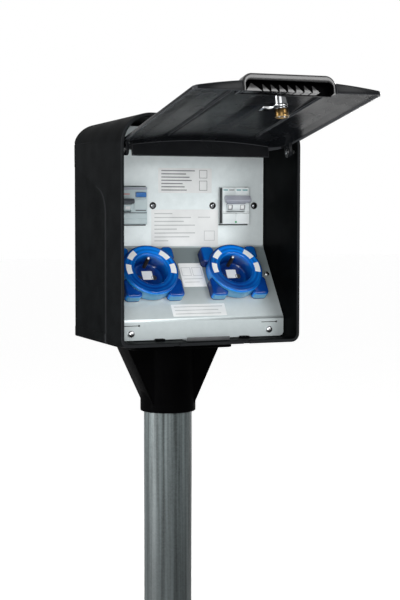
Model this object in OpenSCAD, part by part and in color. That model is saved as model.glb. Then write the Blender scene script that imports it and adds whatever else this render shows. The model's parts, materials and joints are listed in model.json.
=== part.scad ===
// Garden socket post: a moulded hood on a steel tube, with a hinged lid that locks, a bent sheet panel,
// two modular protection devices on a rail and two sloping blue sockets.
// Millimetres, +Z up, front towards -Y. The origin is the centre of the foot of the post.

/* [Post] */
// Outside diameter of the steel post
post_d = 60.3; // [48:0.1:64]
// Wall of the post tube
post_wall = 2.9; // [2:0.1:4]
// Height of the underside of the box over the foot of the post
box_z = 700; // [550:10:1200]
// Length of the foot that is set in the ground
foot_len = 300; // [150:10:380]
// Width of the rolled ground line round the post
mark_w = 2; // [1:0.5:4]
// Depth of the rolled ground line
mark_depth = 0.4; // [0.2:0.1:0.8]

/* [Adaptor] */
// Room left between the end of the post and the floor of the box, for the foot of the grommet
post_stop = 6; // [5:0.5:10]
// Wall of the collar round the post
collar_wall = 4.6; // [3:0.1:8]
// Reach of the collar below the box
collar_len = 95; // [80:1:140]
// Thickness of the flange under the box
flange_t = 13; // [8:0.5:16]
// Half width of the flange
flange_half = 66; // [60:1:80]
// Reach of the flange in front of the post axis
flange_front = 54; // [45:1:70]
// Half width of the funnel under the flange
funnel_half = 61.6; // [50:0.1:66]
// Half width of the funnel at its lower end
funnel_foot = 28.1; // [20:0.1:34]
// Thickness of the funnel
funnel_t = 44; // [20:1:56]
// How far the funnel stops above the end of the collar
funnel_stop = 11; // [6:1:30]
// Diameter of the cable hole through the floor
cable_hole_d = 46; // [30:1:48]
// Across X, half the distance between the bolts
bolt_x = 50; // [44:1:54]
// Distance of the front bolts from the post axis
bolt_front = 38; // [34:1:44]
// Distance of the back bolts from the post axis
bolt_back = 17; // [12:1:18]
// Diameter of the bolts
bolt_d = 6; // [5:1:6]
// Width across the flats of the bolt heads
bolt_af = 10; // [8:1:11]
// Diameter of the set screws in the collar
set_d = 8; // [6:1:10]
// Depth below the box of the upper set screw
set_high = 40; // [30:1:50]
// Depth below the box of the lower set screw
set_low = 75; // [62:1:78]

/* [Box] */
// Width of the box
box_w = 225; // [215:1:260]
// Depth of the box
box_d = 174.3; // [165:0.1:200]
// Height of the box
box_h = 267; // [260:1:300]
// Distance from the post axis to the back of the box
box_back = 30.5; // [28:0.5:40]
// Wall of the hood
wall = 4; // [3:0.5:5]
// Radius of the hood's upper corners, seen from the front
top_r = 37; // [20:1:50]
// Radius of the hood's lower corners, seen from the front
foot_r = 10; // [8:1:14]
// Fall of the hood's roof towards the back, in degrees
roof_fall = 3.4; // [0:0.1:5]
// Radius where the top turns into the back
crown_r = 15; // [8:1:45]
// Radius where the floor turns into the back
back_r = 1.5; // [1:0.5:12]
// Radius of the hood's upright back edges
edge_r = 1.5; // [1:0.5:12]
// Depth of the recessed fields on the sides and the back
field_depth = 1; // [0.5:0.1:1.5]
// Width of the raised band along the front edge
band_w = 53; // [35:1:70]
// Height where the recessed field's upper line meets the band
field_z = 173.4; // [150:1:185]
// Rise of the recessed field's upper line towards the back, in degrees
field_rise = 17.5; // [5:0.5:25]
// Radius of the recessed field's front corner
field_r = 30; // [10:1:40]
// Across X, half the distance between the drain notches in the front edge
notch_x = 44; // [38:1:48]
// Width of a drain notch
notch_w = 8; // [4:1:8]
// Diameter of the drain plugs' stems
plug_d = 6; // [5:1:8]
// Distance of the drain plugs from the hood's inner sides
plug_x = 13.5; // [11.5:0.5:28.5]
// Distance of the drain plugs behind the front edge
plug_in = 87; // [70:1:100]

/* [Panel] */
// Thickness of the panel sheet
sheet = 1.5; // [1:0.1:2]
// Distance of the upright panel behind the front edge
panel_in = 93.8; // [88:0.1:98]
// Distance of the lower flap behind the front edge
flap_in = 34.2; // [30:0.1:40]
// Height of the bend between the upright panel and the slope
kink_z = 111.6; // [105:0.1:115]
// Height of the bend between the slope and the flap
bend_z = 28; // [24:0.1:30]
// Gap between the panel and the hood
panel_gap = 0.9; // [0.5:0.1:2]
// Height of the devices' middle line
device_z = 161.7; // [155:0.1:168]
// Distance of each device's middle from the hood's inner side
device_x = 41.4; // [40.5:0.1:42.5]
// Width of a device cut-out
cutout_w = 39; // [38:0.5:42]
// Height of a device cut-out
cutout_h = 46; // [46:0.5:50]
// Distance of the inner panel screws from their device's middle
screw_in_x = 28; // [27.1:0.1:31.1]
// Distance of the outer panel screws from their device's middle
screw_out_x = 27.9; // [26.9:0.1:29.9]
// Distance of the flap screws from the hood's inner sides
flap_screw_x = 20.2; // [16.5:0.1:28.5]
// Height of the flap screws
flap_screw_z = 12.9; // [12:0.1:15]
// Distance of the slope screws from the hood's inner sides
slope_screw_x = 7; // [6.5:0.1:8.5]
// Distance of the slope screws down the slope
slope_screw_v = 41.2; // [30:0.1:60]
// Length of the lanced slots in the flap
lance_len = 20; // [8:1:24]
// Diameter of the panel screws
screw_d = 4; // [3:0.5:4]
// Diameter of the panel screws' heads
head_d = 7.2; // [6:0.1:8]
// Height of the panel screws' heads
head_h = 2.4; // [1.5:0.1:3]
// Length of the panel screws under the head
screw_len = 12; // [8:1:14]
// Diameter of the pillars behind the panel
pillar_d = 9; // [8:0.5:10]

/* [Devices] */
// Width of one device module
module_w = 18; // [17.5:0.1:18]
// Height of a device's nose
nose_h = 45; // [44:0.5:45]
// How far the nose stands out of the panel
nose_out = 8; // [4:0.5:12]
// Height of a device's body behind the panel
device_h = 85; // [80:1:90]
// Distance from the panel's face to the rail's lips
rail_depth = 46; // [44:0.5:50]
// Height of the rail
rail_h = 35; // [35:0.1:35.2]
// Depth of the rail
rail_d = 7.5; // [7:0.1:10]
// Thickness of the rail's steel
rail_t = 1; // [0.8:0.1:1.2]
// Gap between the rail's ends and the hood
rail_end_gap = 5; // [3:0.5:6]
// Distance of the rail screws from the inner panel screws, towards the middle
rail_screw_x = 17.1; // [13.1:0.1:21.1]
// Angle of the breaker's toggle above the middle when on
mcb_angle = 36; // [30:1:38]
// Width of the breaker's toggle bar
mcb_bar_w = 33.5; // [28:0.5:34]
// Angle of the residual device's toggle above the middle when on
rcd_angle = 25; // [20:1:30]
// Width of the residual device's toggle bar
rcd_bar_w = 16; // [12:0.5:18]
// Travel of the test button
button_travel = 1.5; // [1:0.1:2]

/* [Sockets] */
// Distance of each socket's middle from the hood's inner side
socket_x = 53.7; // [48.5:0.1:54.5]
// Distance of the sockets' centres down the slope
socket_v = 41.5; // [38:0.1:46]
// Outside radius of a socket's ring
ring_r = 34.3; // [32:0.1:36]
// Height of the ring over the slope
ring_h = 16.5; // [14:0.5:20]
// Radius of the bowl for the plug
bowl_r = 20.5; // [19.5:0.1:22]
// Depth of the bowl below the slope
bowl_sink = 4; // [2:0.5:8]
// Height of the square base over the slope
base_h = 12.5; // [9:0.5:14]
// Distance between the plug's pins
pin_pitch = 19; // [18:0.5:20]
// Diameter of the pin holes in the bowl
pin_hole_d = 6; // [5:0.1:7]
// Diameter of the earth pin
earth_d = 4.8; // [4:0.1:5]
// Distance of the earth pin above the bowl's centre
earth_up = 10.5; // [9:0.5:12]
// Length of the earth pin in the bowl
earth_len = 14; // [10:0.5:16]

/* [Lid] */
// Gap between the lid's sides and the hood
lid_gap = 1.6; // [1:0.1:3]
// Gap between the lid's lower edge and the floor
lid_foot_gap = 1; // [0.6:0.1:4]
// Thickness of the lid at its sides
lid_edge = 4; // [3.5:0.1:6]
// Height of the lid's crown over its sides
lid_crown = 9; // [4:0.5:12]
// Skin of the lid and thickness of the walls round it
lid_skin = 3; // [2:0.1:3.4]
// Across X, half the distance between the two long ribs in the lid
rib_x = 55; // [52:1:80]
// Distance of the hinge line behind the front edge
pivot_in = 11.6; // [10.5:0.1:14]
// Distance of the hinge line below the hood's ceiling
pivot_z = 37.5; // [35:0.1:48]
// Angle between the closed lid and the lid as it stands open
open_angle = 101.75; // [90:0.25:104]
// Diameter of the hinge pins
pin_d = 6; // [5:0.1:7]
// Length of the hinge ears along the pin
ear_t = 4; // [4:0.5:6]
// Distance of the ears from the hood's side walls
ear_in = 4; // [3.5:0.5:4.5]

/* [Handle] */
// Length of the handle
handle_len = 106; // [98:1:108]
// Reach of the handle in front of the lid's inner face
handle_reach = 19; // [15:0.1:22]
// Thickness of the handle's bar and legs
handle_t = 6.5; // [4:0.1:7]
// Radius of the handle's outer corners
handle_r = 12; // [8:0.5:15]
// Depth of the handle along the lid
handle_depth = 13; // [12:0.5:15]
// Number of ribs in the finger pocket
pocket_ribs = 8; // [4:1:9]
// Distance between the ribs
rib_pitch = 9.3; // [8:0.1:10]

/* [Lock] */
// Gap between the lock's barrel and the wall behind the handle
lock_gap = 2; // [1.5:0.5:6]
// Diameter of the lock barrel
barrel_d = 14; // [12:0.1:15]
// Reach of the barrel behind the lid's inner face
barrel_in = 6.8; // [6:0.1:8]
// Diameter of the turning plug
plug_core_d = 9; // [8:0.1:10]
// Gap between the locked cam's tip and the keeper's foot
cam_gap = 1; // [0.5:0.5:3]
// Width of the cam
cam_w = 11; // [10.5:0.5:12]
// Thickness of the cam
cam_t = 2; // [1.5:0.1:2.5]
// Depth of the crank in the cam
cam_crank = 3; // [2.5:0.5:4]

/* [Hidden] */
$fn = 64;
// Clearances: a running fit, a screw in its hole, parts that pass each other, and cuts that run past a face
fit = 0.05;
play = 0.2;
pass = 0.4;
past = 1;

front_y = box_back - box_d;
inner_half = box_w / 2 - wall;
inner_top = box_h - wall;
floor_back = box_back - wall - max(back_r - wall, 1);
hinge_z = inner_top - pivot_z;
post_r = post_d / 2;
collar_r = post_r + collar_wall;

// Places across X, from the middle, of what keeps its distance from the hood's sides or from a device
plug_at = inner_half - plug_x;
device_at = inner_half - device_x;
screw_in_at = device_at - screw_in_x;
screw_out_at = device_at + screw_out_x;
rail_screw_at = screw_in_at - rail_screw_x;
flap_screw_at = inner_half - flap_screw_x;
slope_screw_at = inner_half - slope_screw_x;
socket_at = inner_half - socket_x;

// The bent panel
panel_y = front_y + panel_in;
flap_y = front_y + flap_in;
panel_back = panel_y + sheet;
slope_angle = atan2(panel_y - flap_y, kink_z - bend_z);
flap_foot = wall + panel_gap;
slope_turn = 90 - slope_angle;

// The rail and the devices
rail_y = panel_y + rail_depth;
rail_back = rail_y + rail_d;
nose_y = panel_y - nose_out;
shoulder_y = panel_back + 4.5;
hook_t = 3;
toggle_in = 5;
drum_r = 5.2;
axle_r = 1.5;
rcd_x = -device_at;
rcd_toggle_x = rcd_x - module_w / 2;
button_w = 12.6;
button_h = 5.6;
button_z = 13;
button_out = 2;
device_w = 2 * module_w;
mcb_drum_w = 24;
rcd_drum_w = rcd_bar_w - 4;
cover_t = 1;
cover_h = 12.5;

// The sockets, in the frame of the slope: local x across, y up the slope and z out of it
spigot_r = bowl_r + 3.5;
spigot_len = 15;
floor_t = 3;
carrier_len = 28;
lug_x = 29;
lug_y = 22;
gasket_r = 27;
gasket_w = 3;
gasket_t = 1;

// The closed lid
lid_half = inner_half - lid_gap;
lid_in = front_y + lid_edge;
lid_foot = wall + lid_foot_gap;
lid_corner = foot_r - wall;
crown_sweep = (pow(lid_half, 2) + pow(lid_crown, 2)) / (2 * lid_crown);
crown_y = front_y - lid_crown + crown_sweep;
skin_y = front_y - lid_crown + lid_skin;
pivot_y = front_y + pivot_in;
swing_r = (inner_top - hinge_z - pivot_in * tan(roof_fall)) * cos(roof_fall) - lid_gap / 2;
pin_r = pin_d / 2;
bush_t = 1.5;
ear_x = inner_half - ear_in - ear_t;
ear_r = pin_r + bush_t + 2.5;
pin_sink = wall * 0.6;
field_foot = foot_r + 2;
lip_z = hinge_z + 22;
lip_reach = 9;
lid_rib = 1.5;
lid_rib_up = 2;
lid_rib_low = lid_foot + handle_depth + 4;
lid_rib_high = hinge_z - 14;

// The handle at the lid's lower edge and the lock above it
handle_half = handle_len / 2;
pocket_half = handle_half - handle_t;
bar_y = lid_in - handle_reach;
pocket_y = bar_y + handle_t;
pocket_depth = handle_depth - 4;
pocket_z = lid_foot + pocket_depth;
handle_top = lid_foot + handle_depth;
lock_z = handle_top + lid_skin + barrel_d / 2 + lock_gap;
barrel_r = barrel_d / 2;
core_r = plug_core_d / 2;
lock_face = front_y - lid_crown - 2;
cam_y = lid_in + barrel_in + play;
nut_y = cam_y + cam_t + fit;
nut_t = 2.5;
knob_y = nut_y + nut_t + fit;
knob_len = 7.5;
knob_r = 7.4;

// The screws that hold the handle
grip_screw_d = 3;
grip_head_d = 5;

// The keeper on the floor, with its upstand in front of the locked cam
keeper_half = 27;
keeper_t = 1.5;
keeper_y = cam_y + cam_crank - keeper_t - 0.8;
keeper_h = 4.5;
keeper_foot = 14;
cam_len = lock_z - wall - keeper_t - cam_gap;
keeper_screw_x = keeper_half - 6;
keeper_screw_y = keeper_y + keeper_t + 7;

// Lifts what is drawn in the frame of the box to its height on the post
module on_post() {
  translate([0, 0, box_z]) children();
}

// Extrudes a profile drawn in X and Z from y0 to y1
module along_y(y0, y1) {
  translate([0, y1, 0]) rotate([90, 0, 0]) linear_extrude(y1 - y0) children();
}

// Extrudes a profile drawn in Y and Z from x0 to x1
module along_x(x0, x1) {
  translate([x0, 0, 0]) rotate([90, 0, 90]) linear_extrude(x1 - x0) children();
}

// Extrudes a profile drawn in X and Y from z0 to z1
module along_z(z0, z1) {
  translate([0, 0, z0]) linear_extrude(z1 - z0) children();
}

// A cylinder along Y from y0 to y1 at x and z
module rod_y(x, z, y0, y1, r) {
  translate([x, y1, z]) rotate([90, 0, 0]) cylinder(r = r, h = y1 - y0);
}

// A cylinder along X from x0 to x1 at y and z
module rod_x(x0, x1, y, z, r) {
  translate([x0, y, z]) rotate([0, 90, 0]) cylinder(r = r, h = x1 - x0);
}

// A rectangle from one corner to the other
module box2(a, b) {
  translate(a) square(b - a);
}

// A block from one corner to the other
module box3(a, b) {
  translate(a) cube(b - a);
}

// A centred rectangle with round corners
module round_rect(w, h, r) {
  square([w - 2 * r, h], center = true);
  square([w, h - 2 * r], center = true);
  for (x = [-1, 1], y = [-1, 1]) translate([x * (w / 2 - r), y * (h / 2 - r)]) circle(r);
}

// Places its children on the slope, u across from the middle and v down from the upper bend
module on_slope(u, v) {
  translate([u, panel_y - v * sin(slope_angle), kink_z - v * cos(slope_angle)])
    rotate([slope_turn, 0, 0]) children();
}

// Swings what is drawn for the closed lid up to where the lid stands open
module swung_open() {
  translate([0, pivot_y, hinge_z]) rotate([-open_angle, 0, 0]) translate([0, -pivot_y, -hinge_z]) children();
}

// A pan-head screw along +Z with its head on the plane z = 0 and its shank below
module pan_screw(d, len, hd, hh) {
  difference() {
    union() {
      cylinder(d = hd, h = hh * 0.6);
      translate([0, 0, hh * 0.6]) cylinder(d1 = hd, d2 = hd * 0.7, h = hh * 0.4);
    }
    for (turn = [0, 90]) rotate([0, 0, turn])
      translate([-hd * 0.3, -hd * 0.06, hh * 0.45]) cube([hd * 0.6, hd * 0.12, hh]);
  }
  translate([0, 0, -len]) cylinder(d = d, h = len);
}

// A pan-head screw whose head faces the front and bears on the plane y
module front_screw(x, y, z, len) {
  translate([x, y, z]) rotate([90, 0, 0]) pan_screw(screw_d, len, head_d, head_h);
}

// A six-sided prism along Z with the given width across the flats
module hex_prism(af, h) {
  cylinder(r = af / sqrt(3), h = h, $fn = 6);
}

// Where the bolts go through the floor into the adaptor's flange
bolt_places = [for (x = [-1, 1], y = [-bolt_front, bolt_back]) [x * bolt_x, y]];

module post_tube() color([0.55, 0.56, 0.57]) difference() {
  cylinder(r = post_r, h = box_z - post_stop);
  translate([0, 0, -past]) cylinder(r = post_r - post_wall, h = box_z + 2 * past);
  translate([0, 0, foot_len]) difference() {
    cylinder(r = post_r + past, h = mark_w);
    cylinder(r = post_r - mark_depth, h = mark_w);
  }
}

module post_adaptor() color([0.03, 0.03, 0.035]) on_post() difference() {
  flange_back = box_back - 2.5;
  union() {
    along_z(-flange_t, 0) translate([0, (flange_back - flange_front) / 2])
      round_rect(2 * flange_half, flange_back + flange_front, 8);
    translate([0, 0, -collar_len]) cylinder(r = collar_r, h = collar_len - flange_t);
    along_y(-funnel_t / 2, funnel_t / 2)
      polygon([[-funnel_half, -flange_t], [-funnel_foot, -collar_len + funnel_stop],
      [funnel_foot, -collar_len + funnel_stop], [funnel_half, -flange_t]]);
  }
  translate([0, 0, -collar_len - past]) cylinder(r = post_r + fit, h = collar_len + 2 * past);
  for (p = bolt_places) translate([p[0], p[1], -flange_t + 1]) cylinder(d = bolt_d + 2 * fit, h = flange_t);
  for (z = [set_high, set_low]) rod_y(0, -z, post_r - past, collar_r + past, set_d / 2 + fit);
}

module adaptor_set_screws() color([0.35, 0.35, 0.36]) on_post() for (z = [set_high, set_low]) difference() {
  rod_y(0, -z, post_r + fit, collar_r + 0.5, set_d / 2);
  translate([0, collar_r + past, -z]) rotate([90, 0, 0]) hex_prism(set_d / 2, 3.5);
}

module adaptor_bolts() color([0.6, 0.6, 0.62]) on_post() for (p = bolt_places) translate([p[0], p[1], wall]) {
  hex_prism(bolt_af, 4);
  translate([0, 0, -wall - flange_t + 2]) cylinder(d = bolt_d, h = wall + flange_t - 2);
}

// The grommet: a ring in the cable hole, its flange cut flat where the floor rounds up to the back wall
module cable_grommet() color([0.05, 0.05, 0.05]) on_post() difference() {
  hole_r = cable_hole_d / 2;
  rotate_extrude() difference() {
    union() {
      box2([hole_r - 6, 2 - post_stop], [hole_r - fit, wall + 3]);
      box2([hole_r - 6, wall], [hole_r + 3, wall + 3]);
    }
    translate([hole_r - 6, wall + 3]) circle(2);
  }
  box3([-hole_r - 4, floor_back - fit, wall - past], [hole_r + 4, box_back, wall + 3 + past]);
}

module drain_plugs() color([0.04, 0.04, 0.045]) on_post() for (s = [-1, 1])
  translate([s * plug_at, front_y + plug_in, 0]) {
    translate([0, 0, -3]) cylinder(d1 = plug_d + 2, d2 = plug_d + 4, h = 3);
    cylinder(d = plug_d, h = wall + 3);
  }

// Front view of the hood, w wide and h high, with its lower edge on z = 0
module hood_front(w, h, rt, rb) {
  box2([-w / 2, rb], [w / 2, h - rt]);
  box2([-w / 2 + rt, rb], [w / 2 - rt, h]);
  box2([-w / 2 + rb, 0], [w / 2 - rb, h - rt]);
  for (s = [-1, 1]) {
    translate([s * (w / 2 - rt), h - rt]) circle(rt);
    translate([s * (w / 2 - rb), rb]) circle(rb);
  }
}

// Height at y of a roof that is h high at the front edge
function roof_line(y, h) = h - (y - front_y) * tan(roof_fall);

// Side view of the hood from y0 to y1, with its lower edge on z = 0 and its roof falling to the back
module hood_side(y0, y1, h, rc, rb) {
  c = [y1 - rc, roof_line(y1 - rc, h) - rc / cos(roof_fall)];
  polygon([[y0, 0], [y1 - rb, 0], [y1 - rb, rb], [y1, rb], [y1, c[1]], c,
    c + rc * [sin(roof_fall), cos(roof_fall)], [y0, roof_line(y0, h)]]);
  translate(c) circle(rc);
  translate([y1 - rb, rb]) circle(rb);
}

// Plan of the hood, w wide, from y0 to y1
module hood_plan(w, y0, y1, r) {
  box2([-w / 2, y0], [w / 2, y1 - r]);
  box2([-w / 2 + r, y0], [w / 2 - r, y1]);
  for (s = [-1, 1]) translate([s * (w / 2 - r), y1 - r]) circle(r);
}

// The hood as a full body from y0 to the back, drawn in by side at sides and back, by rise above and below
module hood_body(side, rise, y0) {
  y1 = box_back - side;
  h = box_h - 2 * rise;
  translate([0, 0, rise]) intersection() {
    along_y(y0, y1) hood_front(box_w - 2 * side, h, top_r - side, foot_r - side);
    along_x(-box_w / 2, box_w / 2) hood_side(y0, y1, h, max(crown_r - side, 1), max(back_r - side, 1));
    along_z(0, h + past) hood_plan(box_w - 2 * side, y0, y1, max(edge_r - side, 1));
  }
}

// Height of the recessed fields' upper line at y
function field_line(y) = field_z + (y - front_y - band_w) * tan(field_rise);

// Side view of the recessed fields: behind the band and under a rising line, with a round front corner
module field_side() {
  y0 = front_y + band_w;
  y1 = box_back + past;
  c = [y0 + field_r, field_line(y0 + field_r) - field_r / cos(field_rise)];
  polygon([[y0, c[1]], [y0, field_foot], [y1, field_foot], [y1, field_line(y1)],
    c + field_r * [-sin(field_rise), cos(field_rise)], c]);
  translate(c) circle(field_r);
}

// Bosses and catches that are moulded on the inside of the hood
module housing_inside() {
  back_in = box_back - wall;
  for (s = [-1, 1]) {
    rod_y(s * rail_screw_at, device_z, rail_back, back_in + past, 8);
    box3([s * flap_screw_at - 7, flap_y + sheet, wall - past],
      [s * flap_screw_at + 7, flap_y + sheet + 16, flap_screw_z + 7]);
    mirror([s < 0 ? 1 : 0, 0, 0]) intersection() {
      on_slope(slope_screw_at, slope_screw_v) box3([-6, -7, -sheet - 16], [20, 7, -sheet]);
      box3([0, front_y, 0], [inner_half + past, box_back, box_h]);
    }
    box3([s * (notch_x + 10) - 5.5, flap_y - 8, wall - past],
      [s * (notch_x + 10) + 5.5, flap_y - play, wall + 2.5]);
  }
}

module housing() color([0.10, 0.105, 0.11]) on_post() difference() {
  union() {
    difference() {
      hood_body(0, 0, front_y);
      difference() {
        along_x(-box_w / 2 - past, box_w / 2 + past) field_side();
        hood_body(field_depth, 0, front_y);
      }
      hood_body(wall, wall, front_y - past);
    }
    housing_inside();
  }
  translate([0, 0, -past]) cylinder(d = cable_hole_d, h = wall + 2 * past);
  for (p = bolt_places) translate([p[0], p[1], -past]) cylinder(d = bolt_d + 2 * play, h = wall + 2 * past);
  for (s = [-1, 1]) {
    translate([s * plug_at, front_y + plug_in, -past]) cylinder(d = plug_d + 2 * fit, h = wall + 2 * past);
    rod_y(s * rail_screw_at, device_z, rail_back - past, rail_back + 14, screw_d / 2 + fit);
    rod_y(s * flap_screw_at, flap_screw_z, flap_y, flap_y + sheet + 14, screw_d / 2 + fit);
    on_slope(s * slope_screw_at, slope_screw_v) translate([0, 0, -sheet - 14])
      cylinder(d = screw_d + 2 * fit, h = 14 + past);
    mirror([s < 0 ? 1 : 0, 0, 0]) rod_x(inner_half - past, inner_half + pin_sink, pivot_y, hinge_z, pin_r + fit);
    box3([s * notch_x - notch_w / 2, front_y - past, -past],
      [s * notch_x + notch_w / 2, front_y + 3.5, wall + past]);
    translate([s * keeper_screw_x, keeper_screw_y, -past]) cylinder(d = screw_d, h = wall + 2 * past);
  }
}

function mitre(a, b) = (a + b) / (1 + a * b);

// Side view of the bent sheet
module panel_side() {
  upright = [1, 0];
  slope = [cos(slope_angle), -sin(slope_angle)];
  top = inner_top - panel_gap;
  upper = [panel_y, kink_z];
  lower = [flap_y, bend_z];
  polygon([[panel_y, top], upper, lower, [flap_y, flap_foot], [flap_y + sheet, flap_foot],
    lower + sheet * mitre(slope, upright), upper + sheet * mitre(upright, slope), [panel_back, top]]);
}

module front_panel() color([0.75, 0.78, 0.79]) on_post() difference() {
  in = wall + panel_gap;
  intersection() {
    along_x(-inner_half + panel_gap, inner_half - panel_gap) panel_side();
    hood_body(in, in, front_y);
  }
  for (s = [-1, 1]) {
    box3([s * device_at - cutout_w / 2, panel_y - past, device_z - cutout_h / 2],
      [s * device_at + cutout_w / 2, panel_back + past, device_z + cutout_h / 2]);
    for (x = [screw_in_at, screw_out_at])
      rod_y(s * x, device_z, panel_y - past, panel_back + past, screw_d / 2 + play);
    rod_y(s * flap_screw_at, flap_screw_z, flap_y - past, flap_y + sheet + past, screw_d / 2 + play);
    along_y(flap_y - past, flap_y + sheet + past) translate([s * flap_screw_at, bend_z - 6]) {
      square([lance_len, 0.8], center = true);
      translate([lance_len / 2, 0]) circle(1.2);
    }
    on_slope(s * slope_screw_at, slope_screw_v) translate([0, 0, -sheet - past])
      cylinder(d = screw_d + 2 * play, h = sheet + 2 * past);
    on_slope(s * socket_at, socket_v) translate([0, 0, -sheet - past]) {
      cylinder(r = spigot_r + play, h = sheet + 2 * past);
      for (t = [-1, 1]) translate([-t * lug_x, t * lug_y, 0])
        cylinder(d = screw_d + 2 * play, h = sheet + 2 * past);
    }
  }
}

module panel_screws() color([0.7, 0.7, 0.72]) on_post()
  for (x = [-screw_out_at, -screw_in_at, screw_in_at, screw_out_at])
  front_screw(x, panel_y, device_z, screw_len);

module flap_screws() color([0.7, 0.7, 0.72]) on_post() for (s = [-1, 1])
  front_screw(s * flap_screw_at, flap_y, flap_screw_z, screw_len);

module slope_screws() color([0.7, 0.7, 0.72]) on_post() for (s = [-1, 1])
  on_slope(s * slope_screw_at, slope_screw_v) pan_screw(screw_d, screw_len, head_d, head_h);

module din_rail() color([0.72, 0.73, 0.72]) on_post() difference() {
  lip = 5;
  half = inner_half - rail_end_gap;
  along_x(-half, half) translate([rail_y, device_z]) {
    for (s = [0, 1]) mirror([0, s]) {
      box2([0, rail_h / 2 - lip - rail_t], [rail_t, rail_h / 2]);
      box2([0, rail_h / 2 - lip - rail_t], [rail_d, rail_h / 2 - lip]);
    }
    box2([rail_d - rail_t, -rail_h / 2 + lip], [rail_d, rail_h / 2 - lip]);
  }
  for (s = [-1, 1]) rod_y(s * rail_screw_at, device_z, rail_y, rail_back + past, screw_d / 2 + play);
}

module rail_screws() color([0.6, 0.6, 0.62]) on_post() for (s = [-1, 1])
  front_screw(s * rail_screw_at, rail_back - rail_t, device_z, screw_len);

module panel_pillars() color([0.78, 0.7, 0.4]) on_post()
  for (x = [-screw_out_at, -screw_in_at, screw_in_at, screw_out_at]) difference() {
    rod_y(x, device_z, panel_back, rail_back - rail_t, pillar_d / 2);
    rod_y(x, device_z, panel_back - past, panel_back + screw_len + past, screw_d / 2 + fit);
  }

// Side view of a rail device about its middle line: nose, shoulders and the hook over the rail's upper lip
module device_side() {
  box2([nose_y, -nose_h / 2], [shoulder_y + past, nose_h / 2]);
  box2([shoulder_y, -device_h / 2], [rail_y - fit, device_h / 2]);
  box2([rail_y - past, rail_h / 2 + fit], [rail_y + rail_t + fit + hook_t, rail_h / 2 + 9]);
  box2([rail_y + rail_t + fit, rail_h / 2 - 3], [rail_y + rail_t + fit + 1.5, rail_h / 2 + 9]);
}

// The pocket, seen from the side, in which a toggle's drum turns
module toggle_pocket_side() {
  box2([nose_y - past, -8], [nose_y + toggle_in + drum_r + pass, 8]);
}

// Side view of a toggle about its axle, turned up by an angle: drum, neck and bar
module toggle_side(angle, half, reach) {
  circle(drum_r);
  rotate(-angle) {
    box2([-reach + 4, -2.2], [0, 2.2]);
    translate([-reach + 2.5, 0]) round_rect(5, 2 * half, 1.2);
  }
}

// A toggle at x: a drum w wide in the nose, a bar bar_w wide outside it, and the axle through both
module toggle(x, w, bar_w, angle, half, reach) {
  translate([x, nose_y + toggle_in, device_z]) {
    rod_x(-w / 2 - 1.5, w / 2 + 1.5, 0, 0, axle_r);
    intersection() {
      along_x(-w / 2, w / 2) toggle_side(angle, half, reach);
      along_x(-w / 2, w / 2) box2([-reach - past, -reach], [drum_r, reach]);
    }
    along_x(-bar_w / 2, bar_w / 2) rotate(-angle) translate([-reach + 2.5, 0]) round_rect(5, 2 * half, 1.2);
  }
}

// The holes in which the terminal screws of a device sit, one for each module, above and below
module terminal_axes(x, count) {
  for (i = [0:count - 1], s = [-1, 1])
    translate([x + (i - (count - 1) / 2) * module_w, shoulder_y, device_z + s * (device_h / 2 - 8)])
      rotate([90, 0, 0]) children();
}

module terminal_hole() {
  translate([0, 0, -14]) cylinder(r = 3.2 + fit, h = 14 + past);
}

module terminal_screw() {
  translate([0, 0, -14]) difference() {
    cylinder(r = 3.2, h = 11);
    translate([-4, -0.4, 10]) cube([8, 0.8, 2]);
  }
}

module rcd_body() color([0.66, 0.71, 0.75]) on_post() difference() {
  along_x(rcd_x - device_w / 2, rcd_x + device_w / 2) translate([0, device_z]) device_side();
  along_x(rcd_toggle_x - rcd_drum_w / 2 - pass, rcd_toggle_x + rcd_drum_w / 2 + pass)
    translate([0, device_z]) toggle_pocket_side();
  rod_x(rcd_toggle_x - rcd_drum_w / 2 - 2, rcd_toggle_x + rcd_drum_w / 2 + 2,
    nose_y + toggle_in, device_z, axle_r + fit);
  along_y(nose_y - past, nose_y + 4 + button_travel + pass)
    translate([rcd_x + module_w / 2 + 1, device_z + button_z])
    square([button_w + 2 * pass, button_h + 2 * pass], center = true);
  terminal_axes(rcd_x, 2) terminal_hole();
}

// A slide that grips the rail's lower lip from behind
module rail_clip(x, w) {
  along_x(x - w / 2 + 3, x + w / 2 - 3) translate([0, device_z]) mirror([0, 1]) {
    box2([rail_y, rail_h / 2 + fit], [rail_y + rail_t + fit + hook_t, rail_h / 2 + 12]);
    box2([rail_y + rail_t + fit, rail_h / 2 - 3], [rail_y + rail_t + fit + 1.5, rail_h / 2 + 12]);
  }
}

module rcd_rail_clip() color([0.2, 0.2, 0.22]) on_post() rail_clip(rcd_x, device_w);

// A plate on the lower part of the nose
module nose_cover(x, w) {
  along_y(nose_y - cover_t, nose_y) translate([x, device_z - nose_h / 2 + cover_h / 2 + 0.5])
    round_rect(w, cover_h, 0.8);
}

module rcd_cover() color([0.6, 0.66, 0.7]) on_post() nose_cover(rcd_x, device_w - 1);

module rcd_terminal_screws() color([0.75, 0.73, 0.65]) on_post() terminal_axes(rcd_x, 2) terminal_screw();

module rcd_toggle() color([0.25, 0.27, 0.3]) on_post()
  toggle(rcd_toggle_x, rcd_drum_w, rcd_bar_w, rcd_angle, 2.6, 15);

module rcd_test_button() color([0.1, 0.35, 0.8]) on_post()
  along_y(nose_y - button_out, nose_y + 4) translate([rcd_x + module_w / 2 + 1, device_z + button_z])
    round_rect(button_w, button_h, 1);

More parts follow.
